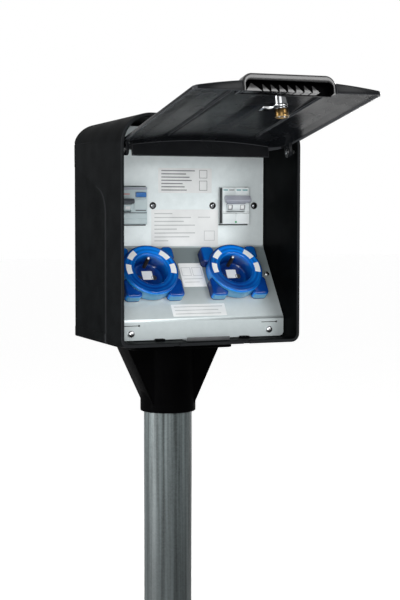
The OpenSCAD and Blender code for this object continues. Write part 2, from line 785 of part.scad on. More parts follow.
// One pole of the breaker, on the given side of its middle plane
module mcb_pole(s) {
  x0 = device_at + (s < 0 ? -module_w : 0);
  difference() {
    along_x(x0, x0 + module_w) translate([0, device_z]) device_side();
    along_x(device_at - mcb_drum_w / 2 - pass, device_at + mcb_drum_w / 2 + pass)
      translate([0, device_z]) toggle_pocket_side();
    rod_x(device_at - mcb_drum_w / 2 - 2, device_at + mcb_drum_w / 2 + 2,
      nose_y + toggle_in, device_z, axle_r + fit);
    terminal_axes(device_at, 2) terminal_hole();
  }
}

module mcb_pole_left() color([0.86, 0.88, 0.88]) on_post() mcb_pole(-1);

module mcb_pole_right() color([0.86, 0.88, 0.88]) on_post() mcb_pole(1);

module mcb_rail_clips() color([0.2, 0.2, 0.22]) on_post() for (s = [-1, 1])
  rail_clip(device_at + s * module_w / 2, module_w);

module mcb_covers() color([0.84, 0.87, 0.87]) on_post() for (s = [-1, 1])
  nose_cover(device_at + s * module_w / 2, module_w - 0.6);

module mcb_terminal_screws() color([0.75, 0.73, 0.65]) on_post() terminal_axes(device_at, 2) terminal_screw();

module mcb_toggle() color([0.55, 0.58, 0.68]) on_post()
  toggle(device_at, mcb_drum_w, mcb_bar_w, mcb_angle, 4.2, 16);

// Plan of a socket's base: round body, square corners and the two lugs for the fixing screws
module socket_plan() {
  circle(ring_r);
  round_rect(2 * ring_r - 14.6, 2 * ring_r - 5, 9);
  for (t = [-1, 1]) {
    translate([-t * lug_x, t * (lug_y - 1)]) round_rect(16, 21, 6);
    translate([t * 21, t * 22]) round_rect(20, 18, 7);
  }
}

// Half section of a socket's ring, bowl wall and spigot
module socket_section() {
  edge = 6;
  rim = 2.5;
  difference() {
    union() {
      box2([bowl_r, -bowl_sink - floor_t], [ring_r, ring_h - edge]);
      box2([bowl_r, 0], [ring_r - edge, ring_h]);
      translate([ring_r - edge, ring_h - edge]) circle(edge);
      box2([0, -bowl_sink - floor_t], [spigot_r, -bowl_sink]);
      box2([bowl_r + 1, -spigot_len], [spigot_r, 0]);
    }
    box2([spigot_r, -spigot_len - past], [ring_r + past, 0]);
    difference() {
      box2([bowl_r - past, ring_h - rim], [bowl_r + rim, ring_h + past]);
      translate([bowl_r + rim, ring_h - rim]) circle(rim);
    }
  }
}

module socket_bezel(s) on_slope(s * socket_at, socket_v) difference() {
  union() {
    difference() {
      linear_extrude(base_h) socket_plan();
      translate([0, 0, -past]) cylinder(r = bowl_r + 3, h = base_h + 2 * past);
    }
    rotate_extrude() socket_section();
  }
  translate([0, 0, -past]) difference() {
    cylinder(r = gasket_r + gasket_w, h = gasket_t + past);
    cylinder(r = gasket_r, h = gasket_t + past);
  }
  for (t = [-1, 1]) {
    translate([-t * lug_x, t * lug_y, -past]) cylinder(d = screw_d + 2 * play, h = base_h + 2 * past);
    translate([-t * lug_x, t * lug_y, base_h - 4]) cylinder(d = head_d + 1, h = 4 + past);
    translate([t * pin_pitch / 2, 0, -spigot_len]) cylinder(d = pin_hole_d, h = spigot_len);
  }
  translate([0, earth_up, -spigot_len]) cylinder(d = earth_d + 2 * fit, h = spigot_len);
}

module left_socket_bezel() color([0.03, 0.2, 0.75]) on_post() socket_bezel(-1);

module right_socket_bezel() color([0.03, 0.2, 0.75]) on_post() socket_bezel(1);

module socket_carrier(s) on_slope(s * socket_at, socket_v) difference() {
  top = -bowl_sink - floor_t;
  union() {
    translate([0, 0, top - carrier_len]) cylinder(r = bowl_r + 0.8, h = carrier_len);
    translate([0, 0, -spigot_len - 4]) cylinder(r = spigot_r, h = 4);
  }
  for (t = [-1, 1]) translate([t * pin_pitch / 2, 0, top - carrier_len + 4])
    cylinder(d = pin_hole_d + 2 + 2 * fit, h = carrier_len);
  translate([0, earth_up, top - carrier_len + 4]) cylinder(d = earth_d + 2 * fit, h = carrier_len);
}

module left_socket_carrier() color([0.12, 0.13, 0.15]) on_post() socket_carrier(-1);

module right_socket_carrier() color([0.12, 0.13, 0.15]) on_post() socket_carrier(1);

module socket_contacts(s) on_slope(s * socket_at, socket_v) for (t = [-1, 1])
  translate([t * pin_pitch / 2, 0, -bowl_sink - floor_t - carrier_len + 4]) difference() {
    cylinder(d = pin_hole_d + 2, h = carrier_len - 4);
    translate([0, 0, 3]) cylinder(d = pin_hole_d - 0.8, h = carrier_len);
  }

module left_socket_contacts() color([0.8, 0.65, 0.3]) on_post() socket_contacts(-1);

module right_socket_contacts() color([0.8, 0.65, 0.3]) on_post() socket_contacts(1);

module earth_pin(s) on_slope(s * socket_at, socket_v) translate([0, earth_up, 0]) {
  foot = -bowl_sink - floor_t - carrier_len + 4;
  tip = -bowl_sink + earth_len;
  translate([0, 0, foot]) cylinder(d = earth_d, h = tip - foot - earth_d / 2);
  translate([0, 0, tip - earth_d / 2]) sphere(d = earth_d);
}

module left_earth_pin() color([0.8, 0.78, 0.7]) on_post() earth_pin(-1);

module right_earth_pin() color([0.8, 0.78, 0.7]) on_post() earth_pin(1);

module socket_gasket(s) on_slope(s * socket_at, socket_v) difference() {
  cylinder(r = gasket_r + gasket_w - fit, h = gasket_t - fit);
  translate([0, 0, -past]) cylinder(r = gasket_r + fit, h = gasket_t + 2 * past);
}

module left_socket_gasket() color([0.06, 0.06, 0.06]) on_post() socket_gasket(-1);

module right_socket_gasket() color([0.06, 0.06, 0.06]) on_post() socket_gasket(1);

// Places its children on the axes of the socket fixing screws, on the slope
module socket_screw_axes() {
  for (s = [-1, 1], t = [-1, 1]) on_slope(s * socket_at, socket_v)
    translate([-t * lug_x, t * lug_y, 0]) children();
}

module socket_screws() color([0.7, 0.7, 0.72]) on_post() socket_screw_axes() translate([0, 0, base_h - 4])
  pan_screw(screw_d, base_h - 4 + sheet + 6, head_d, head_h);

module socket_nuts() color([0.6, 0.6, 0.62]) on_post() socket_screw_axes()
  translate([0, 0, -sheet - 3.2]) difference() {
  hex_prism(7, 3.2);
  translate([0, 0, -past]) cylinder(d = screw_d + 2 * fit, h = 3.2 + 2 * past);
}

// Supply terminals on the back wall, one clamp every terminal_pitch
terminal_pitch = 15;
terminal_count = 5;
terminal_z = 62;
terminal_h = 26;
terminal_d = 22;
terminal_face = box_back - wall - terminal_d;

// The x places of the terminals
terminal_xs = [for (i = [0:terminal_count - 1]) (i - (terminal_count - 1) / 2) * terminal_pitch];

module terminal_block() color([0.85, 0.85, 0.82]) on_post() difference() {
  half = terminal_count * terminal_pitch / 2 + 2;
  box3([-half, terminal_face, terminal_z - terminal_h / 2], [half, box_back - wall, terminal_z + terminal_h / 2]);
  for (x = terminal_xs) {
    translate([x, terminal_face + 10, terminal_z - terminal_h]) cylinder(r = 4.5 + fit, h = 2 * terminal_h);
    rod_y(x, terminal_z, terminal_face - past, terminal_face + 8, 3 + fit);
  }
}

module terminal_clamps() color([0.8, 0.65, 0.3]) on_post() for (x = terminal_xs)
  translate([x, terminal_face + 10, terminal_z - terminal_h / 2 + 2]) difference() {
    cylinder(r = 4.5, h = terminal_h - 4);
    translate([0, 0, -past]) cylinder(r = 2.8, h = terminal_h);
    translate([0, 0, terminal_h / 2 - 2]) rotate([90, 0, 0]) cylinder(r = 2 + fit, h = 10);
  }

module terminal_screws() color([0.7, 0.7, 0.72]) on_post() for (x = terminal_xs) {
  rod_y(x, terminal_z, terminal_face + 1, terminal_face + 5, 3);
  rod_y(x, terminal_z, terminal_face + 5, terminal_face + 8.5, 2);
}

earth_z = 92;
earth_bar_half = 30;

module earth_bar() color([0.8, 0.65, 0.3]) on_post() difference() {
  box3([-earth_bar_half, box_back - wall - 8, earth_z - 5], [earth_bar_half, box_back - wall, earth_z + 5]);
  for (x = [-20:10:20]) rod_y(x, earth_z, box_back - wall - 8 - past, box_back - wall - 1, 2 + fit);
}

module earth_bar_screws() color([0.7, 0.7, 0.72]) on_post() for (x = [-20:10:20])
  translate([x, box_back - wall - 8, earth_z]) rotate([90, 0, 0]) pan_screw(4, 6, 6.5, 2.2);

module hinge_pins() color([0.7, 0.7, 0.72]) on_post() for (s = [0, 1]) mirror([s, 0, 0])
  rod_x(ear_x - 1, inner_half + pin_sink - fit, pivot_y, hinge_z, pin_r);

module lock_keeper() color([0.6, 0.6, 0.6]) on_post() difference() {
  union() {
    box3([-keeper_half, keeper_y, wall], [keeper_half, keeper_y + keeper_t, wall + keeper_h]);
    box3([-keeper_half, keeper_y, wall], [keeper_half, keeper_y + keeper_t + keeper_foot, wall + keeper_t]);
  }
  for (s = [-1, 1]) translate([s * keeper_screw_x, keeper_screw_y, wall - past])
    cylinder(d = screw_d + 2 * play, h = keeper_t + 2 * past);
}

module keeper_screws() color([0.5, 0.5, 0.52]) on_post() for (s = [-1, 1])
  translate([s * keeper_screw_x, keeper_screw_y, wall + keeper_t])
    pan_screw(screw_d - 2 * fit, 5.5, head_d, head_h * 0.7);

// Places its children on the axes of the handle's screws, in its legs and just inside the lid's inner face
module handle_screw_axes() {
  for (s = [-1, 1]) translate([s * (handle_half - handle_t / 2), lid_in - grip_head_d / 2 - pass, 0]) children();
}

// Plan of the closed lid: straight inner face at y1, sides at the front edge, crowned front, drawn in by skin
module lid_plan(half, skin, y1) {
  box2([-half, front_y + skin], [half, y1]);
  intersection() {
    translate([0, crown_y]) circle(crown_sweep - skin, $fn = 180);
    box2([-half, front_y - lid_crown - past], [half, y1]);
  }
}

// What the lid may fill as it turns about the hinge line: a drum under the hood's ceiling, and all below the line
module lid_sweep(half, r, foot, corner) {
  round = min(top_r - wall, r - 1);
  translate([0, pivot_y, hinge_z]) rotate([0, 90, 0]) rotate_extrude($fn = 96) {
    box2([0, -half], [r - round, half]);
    box2([0, -half + round], [r, half - round]);
    for (s = [-1, 1]) intersection() {
      translate([r - round, s * (half - round)]) circle(round);
      box2([0, -half], [r, half]);
    }
  }
  along_y(front_y - lid_crown - 2, pivot_y + 20) {
    box2([-half - past, foot + corner], [half + past, hinge_z]);
    box2([-half + corner, foot - past], [half - corner, hinge_z]);
    for (s = [-1, 1]) translate([s * (half - corner), foot + corner]) circle(corner * 1.04);
  }
}

// The lid as a full body, drawn in by skin
module lid_body(half, skin, foot, y1) {
  intersection() {
    along_z(foot, inner_top) lid_plan(half, skin, y1);
    lid_sweep(half, swing_r - skin, foot, lid_corner - skin);
  }
}

// The lid: a crowned tray with walls round it, long ribs, a cross lip at the top and the hinge ears
module lid() color([0.1, 0.105, 0.11]) on_post() swung_open() difference() {
  union() {
    difference() {
      lid_body(lid_half, 0, lid_foot, lid_in);
      lid_body(lid_half - lid_skin, lid_skin, lid_foot + lid_skin, lid_in + past);
    }
    intersection() {
      union() {
        difference() {
          for (s = [-1, 1]) box3([s * rib_x - lid_rib / 2, front_y - lid_crown, lid_rib_low],
            [s * rib_x + lid_rib / 2, lid_in - 2, lid_rib_high]);
          along_z(lid_rib_low - past, lid_rib_high + past)
            translate([0, crown_y]) circle(crown_sweep - lid_skin - lid_rib_up, $fn = 180);
        }
        box3([-lid_half + 20, front_y - lid_crown, lip_z], [lid_half - 20, lid_in, lip_z + lid_skin]);
        box3([-handle_half - lid_skin, front_y - lid_crown, lid_foot],
          [handle_half + lid_skin, lid_in, handle_top + lid_skin]);
      }
      lid_body(lid_half, lid_skin / 2, lid_foot, lid_in);
    }
    box3([-lid_half + 20, lid_in - past, lip_z], [lid_half - 20, lid_in + lip_reach, lip_z + lid_skin]);
    for (s = [0, 1]) mirror([s, 0, 0]) along_x(ear_x, ear_x + ear_t) {
      box2([front_y + lid_skin / 2, hinge_z - ear_r], [pivot_y, hinge_z + ear_r]);
      translate([pivot_y, hinge_z]) circle(ear_r);
    }
  }
  for (s = [0, 1]) mirror([s, 0, 0])
    rod_x(ear_x - past, inner_half, pivot_y, hinge_z, pin_r + bush_t + fit);
  box3([-handle_half - play, bar_y, lid_foot - past], [handle_half + play, lid_in + past, handle_top]);
  handle_screw_axes() translate([0, 0, handle_top - past])
    cylinder(d = grip_screw_d + 2 * play, h = lid_skin + 2 * past);
  rod_y(0, lock_z, lock_face, lid_in + past, barrel_r + fit);
}

// Plan of the handle's arch, drawn in by t, from the lid's inner face outwards
module handle_plan(t) {
  r = handle_r - t;
  half = handle_half - t;
  reach = handle_reach - t;
  translate([0, lid_in]) {
    box2([-half, -reach + r], [half, 0]);
    box2([-half + r, -reach], [half - r, 0]);
    for (s = [-1, 1]) translate([s * (half - r), -reach + r]) circle(r);
  }
}

// The arch, the back wall of the finger pocket and the ribs that brace it
module handle_grip() color([0.02, 0.02, 0.022]) on_post() swung_open() difference() {
  union() {
    difference() {
      along_z(lid_foot, handle_top - fit) handle_plan(0);
      along_z(lid_foot - past, pocket_z) {
        handle_plan(handle_t);
        box2([-pocket_half, lid_in - past], [pocket_half, lid_in + past]);
      }
    }
    for (i = [0:pocket_ribs - 1]) translate([(i - (pocket_ribs - 1) / 2) * rib_pitch, 0, 0])
      along_x(-0.75, 0.75) polygon([[pocket_y - past, lid_foot + 5], [pocket_y - past, pocket_z + past],
        [lid_in - 0.5, pocket_z + past], [lid_in - 0.5, pocket_z - 0.5], [pocket_y, lid_foot + 5]]);
  }
  handle_screw_axes() translate([0, 0, handle_top - 9]) cylinder(d = grip_screw_d + 2 * fit, h = 10);
}

module handle_screws() color([0.5, 0.5, 0.52]) on_post() swung_open() handle_screw_axes()
  translate([0, 0, handle_top + lid_skin]) pan_screw(grip_screw_d, lid_skin + 7, grip_head_d, 2);

module hinge_bushes() color([0.9, 0.9, 0.88]) on_post() swung_open() for (s = [0, 1]) mirror([s, 0, 0])
  difference() {
  rod_x(ear_x, ear_x + ear_t, pivot_y, hinge_z, pin_r + bush_t);
  rod_x(ear_x - past, ear_x + ear_t + past, pivot_y, hinge_z, pin_r + fit);
}

module lock_barrel() color([0.8, 0.8, 0.82]) on_post() swung_open() difference() {
  union() {
    rod_y(0, lock_z, lock_face + 2, lid_in + barrel_in, barrel_r);
    rod_y(0, lock_z, lock_face, lock_face + 2, barrel_r + 2.5);
  }
  rod_y(0, lock_z, lock_face - past, lid_in + barrel_in + past, core_r + fit);
}

module lock_nut() color([0.8, 0.8, 0.82]) on_post() swung_open() difference() {
  seat = skin_y + play;
  translate([0, seat + 4, lock_z]) rotate([90, 0, 0]) hex_prism(2 * barrel_r + 2.4, 4);
  rod_y(0, lock_z, seat - past, seat + 4 + past, barrel_r + fit);
}

module lock_plug() color([0.75, 0.58, 0.25]) on_post() swung_open() difference() {
  union() {
    rod_y(0, lock_z, lock_face + 0.5, knob_y + past, core_r);
    rod_y(0, lock_z, knob_y, knob_y + knob_len, knob_r);
  }
  box3([-0.7, lock_face, lock_z - 3], [0.7, lock_face + 8, lock_z + 3]);
  for (s = [-1, 1]) rod_y(s * 3, lock_z, knob_y + knob_len - 3, knob_y + knob_len + past, 1.1);
}

// The cam as it lies with the lock open, along -X, cranked away from the lid
module lock_cam() color([0.8, 0.8, 0.82]) on_post() swung_open() difference() {
  start = knob_r + 1;
  end = start + cam_crank;
  union() {
    rod_y(0, lock_z, cam_y, cam_y + cam_t, cam_w / 2 + 1);
    along_z(lock_z - cam_w / 2, lock_z + cam_w / 2) polygon([[0, cam_y], [-start, cam_y], [-end, cam_y + cam_crank],
      [-cam_len, cam_y + cam_crank], [-cam_len, cam_y + cam_crank + cam_t], [-end - cam_t / 2, cam_y + cam_crank + cam_t],
      [-start - cam_t / 2, cam_y + cam_t], [0, cam_y + cam_t]]);
  }
  rod_y(0, lock_z, cam_y - past, cam_y + cam_t + past, core_r + fit);
}

module cam_nut() color([0.8, 0.8, 0.82]) on_post() swung_open() difference() {
  rod_y(0, lock_z, nut_y, nut_y + nut_t, barrel_r - 0.4);
  rod_y(0, lock_z, nut_y - past, nut_y + nut_t + past, core_r + fit);
}

post_tube();
post_adaptor();
adaptor_set_screws();
adaptor_bolts();
cable_grommet();
drain_plugs();
housing();
front_panel();
panel_screws();
flap_screws();
slope_screws();
din_rail();
rail_screws();
panel_pillars();
rcd_body();
rcd_rail_clip();
rcd_cover();
rcd_terminal_screws();
rcd_toggle();
rcd_test_button();
mcb_pole_left();
mcb_pole_right();
mcb_rail_clips();
mcb_covers();
mcb_terminal_screws();
mcb_toggle();
left_socket_bezel();
right_socket_bezel();
left_socket_carrier();
right_socket_carrier();
left_socket_contacts();
right_socket_contacts();
left_earth_pin();
right_earth_pin();
left_socket_gasket();
right_socket_gasket();
socket_screws();
socket_nuts();
terminal_block();
terminal_clamps();
terminal_screws();
earth_bar();
earth_bar_screws();
hinge_pins();
lock_keeper();
keeper_screws();
lid();
handle_grip();
handle_screws();
hinge_bushes();
lock_barrel();
lock_nut();
lock_plug();
lock_cam();
cam_nut();
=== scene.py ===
# %% [markdown]
# # A garden socket post
# A moulded black hood sits on a zinc-coated steel tube. Its lid stands open over a bent zinc panel with
# two protection devices and two blue sockets. The measured solids come in as a fixed frame. This lesson
# keeps the solids that are already right, and lays finer surfaces over those whose edges, bends and
# finishes the eye notices. Lengths in the cells are millimetres, and the last step of each piece makes
# them metres.

# %% Load the measured frame
import json
from math import atan2, cos, degrees, pi, radians, sin

import bmesh
import bpy
import numpy as np
from mathutils import Matrix, Vector

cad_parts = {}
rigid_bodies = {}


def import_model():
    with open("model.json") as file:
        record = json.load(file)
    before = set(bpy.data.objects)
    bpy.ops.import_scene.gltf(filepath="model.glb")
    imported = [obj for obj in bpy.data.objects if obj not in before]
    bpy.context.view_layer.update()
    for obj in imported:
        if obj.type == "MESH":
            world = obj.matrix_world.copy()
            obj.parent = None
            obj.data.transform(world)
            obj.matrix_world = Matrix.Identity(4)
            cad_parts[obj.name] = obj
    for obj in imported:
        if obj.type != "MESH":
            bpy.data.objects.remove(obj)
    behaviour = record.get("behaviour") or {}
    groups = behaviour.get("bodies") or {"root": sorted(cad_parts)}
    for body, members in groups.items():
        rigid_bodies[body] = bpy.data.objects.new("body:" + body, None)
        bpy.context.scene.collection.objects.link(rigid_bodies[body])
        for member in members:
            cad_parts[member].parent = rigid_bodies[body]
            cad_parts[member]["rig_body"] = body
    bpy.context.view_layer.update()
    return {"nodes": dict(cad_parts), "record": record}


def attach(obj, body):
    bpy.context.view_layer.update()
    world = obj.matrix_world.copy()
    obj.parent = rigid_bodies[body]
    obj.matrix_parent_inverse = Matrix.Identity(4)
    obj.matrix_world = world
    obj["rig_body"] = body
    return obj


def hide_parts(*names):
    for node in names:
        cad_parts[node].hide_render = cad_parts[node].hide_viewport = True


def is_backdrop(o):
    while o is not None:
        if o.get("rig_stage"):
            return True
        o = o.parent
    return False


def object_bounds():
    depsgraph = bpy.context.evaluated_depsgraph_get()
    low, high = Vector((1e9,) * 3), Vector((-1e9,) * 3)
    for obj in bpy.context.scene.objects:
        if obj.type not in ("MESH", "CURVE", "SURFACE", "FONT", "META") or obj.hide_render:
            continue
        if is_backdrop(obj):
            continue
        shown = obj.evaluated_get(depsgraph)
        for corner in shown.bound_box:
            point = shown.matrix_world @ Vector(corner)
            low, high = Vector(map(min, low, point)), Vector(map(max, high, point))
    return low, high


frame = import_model()

# %% [markdown]
# ## The camera
# The picture was taken from the left, a little above the sockets, with a long lens. A camera can be
# placed by eye, but here its place was worked out from the corners of the hood and the panel, so it is
# written as a point, three angles and a lens. The long side of the picture is upright, and the sensor's
# width counts along it.

# %% The camera
EYE = Vector((-0.64792, -1.66999, 0.86358))
YAW, PITCH, ROLL = radians(22.492), radians(3.832), radians(0.089)
ahead = Vector((sin(YAW) * cos(PITCH), cos(YAW) * cos(PITCH), -sin(PITCH)))
level = Vector((cos(YAW), -sin(YAW), 0.0))
over = level.cross(ahead)
right = level * cos(ROLL) + over * sin(ROLL)
upward = over * cos(ROLL) - level * sin(ROLL)
eye = bpy.data.cameras.new("camera")
eye.lens = 85.89
eye.sensor_width = 36.0
eye.clip_end = 60.0
camera = bpy.data.objects.new("camera", eye)
turn = Matrix((right, upward, -ahead)).transposed()
camera.matrix_world = Matrix.Translation(EYE) @ turn.to_4x4()
bpy.context.scene.collection.objects.link(camera)
bpy.context.scene.camera = camera
print("camera looks along", [round(v, 3) for v in ahead])

# %% [markdown]
# ## Node helpers
# Each finish is a small node tree on Object coordinates, so a pattern stays where it is on the piece.
# Nodes could be wired one by one, but the same few come back in every finish. So a class gives them short
# names.


# %% Node helpers
class Finish:
    """A material with short ways to add noise, colour, gloss and grain to its shader."""

    def __init__(self, name, **constants):
        self.material = bpy.data.materials.new(name)
        self.material.use_nodes = True
        self.tree = self.material.node_tree
        self.shader = self.tree.nodes["Principled BSDF"]
        self.place = self.tree.nodes.new("ShaderNodeTexCoord").outputs["Object"]
        for socket, value in constants.items():
            self.shader.inputs[socket.replace("_", " ")].default_value = value

    def feed(self, socket, value):
        """Links a socket to another node's output, or sets it to a number or colour."""
        if isinstance(value, bpy.types.NodeSocket):
            self.tree.links.new(value, socket)
        else:
            socket.default_value = value

    def add(self, kind, **values):
        """A new node, with its sockets fed by name."""
        node = self.tree.nodes.new("ShaderNode" + kind)
        for key, value in values.items():
            self.feed(node.inputs[key.replace("_", " ")], value)
        return node

    def math(self, operation, *values):
        """The result of one operation on outputs or numbers."""
        node = self.add("Math")
        node.operation = operation
        for socket, value in zip(node.inputs, values):
            self.feed(socket, value)
        return node.outputs[0]

    def noise(self, scale, detail=2.0, stretch=None):
        """Noise on Object coordinates, which stretch draws out by a factor on each axis."""
        place = self.place
        if stretch is not None:
            place = self.add("Mapping", Vector=place, Scale=stretch).outputs["Vector"]
        return self.add("TexNoise", Vector=place, Scale=scale, Detail=detail).outputs["Fac"]

    def ramp(self, value, stops):
        """A colour ramp through (position, colour) stops."""
        node = self.add("ValToRGB", Fac=value)
        bar = node.color_ramp
        while len(bar.elements) < len(stops):
            bar.elements.new(0.5)
        for element, (position, colour) in zip(bar.elements, stops):
            element.position = position
            element.color = (*colour, 1.0)
        return node.outputs["Color"]

    def range(self, value, low, high, start=0.3, end=0.7):
        """Value, carried over from the span start to end to the span low to high."""
        node = self.add("MapRange", Value=value, From_Min=start, From_Max=end, To_Min=low, To_Max=high)
        return node.outputs["Result"]

    def attribute(self, name):
        """A mark that the mesh carries."""
        node = self.add("Attribute")
        node.attribute_name = name
        return node.outputs["Fac"]

    def mix(self, amount, first, second):
        """From an output's colour to a second colour, by an amount."""
        node = self.add("Mix")
        node.data_type = "RGBA"
        sockets = {socket.identifier: socket for socket in node.inputs}
        self.feed(sockets["Factor_Float"], amount)
        self.feed(sockets["A_Color"], first)
        self.feed(sockets["B_Color"], (*second, 1.0))
        return next(socket for socket in node.outputs if socket.identifier == "Result_Color")

    def colour(self, value):
        """Sets the shader's colour."""
        self.feed(self.shader.inputs["Base Color"], value)

    def gloss(self, value):
        """Sets the shader's roughness: the lower it is, the sharper the reflections."""
        self.feed(self.shader.inputs["Roughness"], value)

    def grain(self, height, strength, depth):
        """Bump of the given depth in metres."""
        node = self.add("Bump", Height=height, Strength=strength, Distance=depth)
        self.feed(self.shader.inputs["Normal"], node.outputs["Normal"])


print("node helpers ready")

# %% [markdown]
# ## Light
# Black plastic shows little colour of its own: what the eye reads as black plastic is the soft reflection
# of lamps and walls. So the light is a pale room with one large lamp in front on the left, a soft box in
# front on the right whose reflection runs along the handle, a low lamp on the left, a weak one above, and
# one behind on the right that the inside of the open lid mirrors. The world is white to the camera and to
# reflections, and dimmer to matt surfaces.


# %% Light
def add_lamp(name, place, target, size, watts):
    """A rectangular area lamp at a place, turned to face a target."""
    data = bpy.data.lights.new(name, "AREA")
    data.shape = "RECTANGLE"
    data.size, data.size_y = size
    data.energy = watts
    lamp = bpy.data.objects.new(name, data)
    lamp.location = place
    lamp.rotation_euler = (Vector(target) - Vector(place)).to_track_quat("-Z", "Y").to_euler()
    bpy.context.scene.collection.objects.link(lamp)


def light_room(brightness):
    """World that is white to camera, reflected and transmitted rays, and dimmer to all others."""
    world = bpy.data.worlds.new("pale room")
    bpy.context.scene.world = world
    world.use_nodes = True
    tree = world.node_tree
    path = tree.nodes.new("ShaderNodeLightPath")
    seen = path.outputs["Is Camera Ray"]
    for ray in ("Is Glossy Ray", "Is Transmission Ray"):
        either = tree.nodes.new("ShaderNodeMath")
        either.operation = "MAXIMUM"
        tree.links.new(seen, either.inputs[0])
        tree.links.new(path.outputs[ray], either.inputs[1])
        seen = either.outputs[0]
    strength = tree.nodes.new("ShaderNodeMapRange")
    strength.inputs["To Min"].default_value = brightness
    strength.inputs["To Max"].default_value = 1.0
    tree.links.new(seen, strength.inputs["Value"])
    back = tree.nodes["Background"]
    back.inputs["Color"].default_value = (1.0, 1.0, 1.0, 1.0)
    tree.links.new(strength.outputs["Result"], back.inputs["Strength"])


light_room(0.32)
middle = (0.0, -0.06, 0.84)
add_lamp("front lamp", (-1.2, -2.7, 1.0), middle, (1.6, 1.4), 50.0)
add_lamp("soft box", (1.1, -2.3, 2.05), middle, (1.0, 0.8), 24.0)
add_lamp("left lamp", (-2.7, 0.1, 0.4), (0.0, 0.0, 0.4), (0.8, 1.6), 110.0)
add_lamp("right lamp", (1.9, 1.6, 1.0), (0.05, -0.2, 0.95), (1.0, 1.0), 48.0)
add_lamp("top lamp", (-0.2, 0.3, 3.0), middle, (2.0, 2.0), 7.0)
bpy.context.scene.view_settings.view_transform = "Standard"
print("lamps: front, soft box, left, right, top")

# %% [markdown]
# ## The floor
# A floor that is lit like the post looks grey in the picture, and more light on it would also fall on the
# post. So the floor is a pale matt paint with a glow that only the camera sees. The glow is weak near the
# post, where the floor keeps the post's shadow, and grows until the floor blends into the white room.

# %% The floor
FLOOR_HALF = 20.0


def paint_floor(shade, near, far, start=0.3, end=1.5):
    """Matt paint of one shade whose glow grows from near to far between two distances in metres."""
    f = Finish("pale floor", Base_Color=(shade, shade, shade, 1.0), Roughness=0.9,
               Emission_Color=(1.0, 1.0, 1.0, 1.0))
    away = f.add("VectorMath", Vector=f.place)
    away.operation = "LENGTH"
    lift = f.range(away.outputs["Value"], near, far, start, end)
    seen = f.add("LightPath").outputs["Is Camera Ray"]
    f.feed(f.shader.inputs["Emission Strength"], f.math("MULTIPLY", seen, lift))
    return f.material


corners = [(x * FLOOR_HALF, y * FLOOR_HALF, 0.0) for x, y in ((-1, -1), (1, -1), (1, 1), (-1, 1))]
floor_mesh = bpy.data.meshes.new("floor")
floor_mesh.from_pydata(corners, [], [(0, 1, 2, 3)])
floor_mesh.materials.append(paint_floor(0.82, 0.2, 0.66))
floor = bpy.data.objects.new("floor", floor_mesh)
bpy.context.scene.collection.objects.link(floor)
floor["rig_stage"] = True
print("floor at the foot of the post")

# %% [markdown]
# ## Finishes
# Most finishes share one build: a cloudy noise shifts the colour between two close tones, a second noise
# shifts the gloss, and a fine noise gives the grain as bump. What differs between plastic, zinc and brass is
# the numbers. Marks on a mesh change the tone in places: one for pale edges, which are a painted highlight;
# "dim" for faces that mirror something dark, which is painted shade; and "tone" for clear plastic, which is
# partly the plastic's depth and partly painted light and shade.


# %% Plastic, zinc and tint
def moulding(name, dark, light, rough, grain=0.15, grain_scale=1300.0, cloud=45.0, edge=None, **constants):
    """Moulded plastic: two close tones in soft clouds, gloss that varies with them, fine grain, and a paler
    edge colour, a painted highlight, where the piece carries its edge mark."""
    f = Finish(name, **constants)
    tone = f.ramp(f.noise(cloud, 3.0), [(0.35, dark), (0.65, light)])
    f.colour(tone if edge is None else f.mix(f.attribute("painted_edge_sheen"), tone, edge))
    f.gloss(f.range(f.noise(cloud * 0.6, 4.0), *rough))
    f.grain(f.noise(grain_scale, 2.0), grain, 0.0002)
    return f.material


def zinc(name, dark, light, rough, spangle, share=0.22, clouds=60.0, streak=None, dim=None, **constants):
    """Zinc coat: crystals (a cell pattern, by share) and clouds shift tone and gloss; a streak draws the
    clouds out. Faces with the mark "dim" take a dim colour, by an amount that runs from one height to
    another."""
    f = Finish(name, **{"Metallic": 1.0, **constants})
    cells = f.add("TexVoronoi", Vector=f.place, Scale=spangle).outputs["Color"]
    crystal = f.add("SeparateColor", Color=cells).outputs["Red"]
    pattern = f.math("MULTIPLY_ADD", crystal, share, f.noise(clouds, 5.0, streak))
    tone = f.ramp(pattern, [(0.35, dark), (0.65 + share, light)])
    if dim is not None:
        shade, low, low_share, high, high_share = dim
        height = f.add("SeparateXYZ", Vector=f.place).outputs["Z"]
        amount = f.math("MULTIPLY", f.attribute("dim"), f.range(height, low_share, high_share, low, high))
        tone = f.mix(amount, tone, shade)
    f.colour(tone)
    f.gloss(f.range(pattern, rough[1], rough[0], 0.35, 0.65 + share))
    f.grain(f.noise(700.0, 3.0), 0.06, 0.0003)
    return f.material


def tinted(name, stops, rough, shift=0.16, **constants):
    """Clear tinted plastic: its colour follows the mark "tone" through the stops, and soft clouds shift it
    by up to half the shift either way."""
    f = Finish(name, **constants)
    clouded = f.math("MULTIPLY_ADD", f.noise(70.0, 3.0), shift, f.attribute("tone"))
    f.colour(f.ramp(f.math("SUBTRACT", clouded, shift / 2), stops))
    f.gloss(f.range(f.noise(50.0, 3.0), *rough))
    f.grain(f.noise(220.0, 2.0), 0.05, 0.0004)
    return f.material


print("finish builds: plastic, zinc, tint")
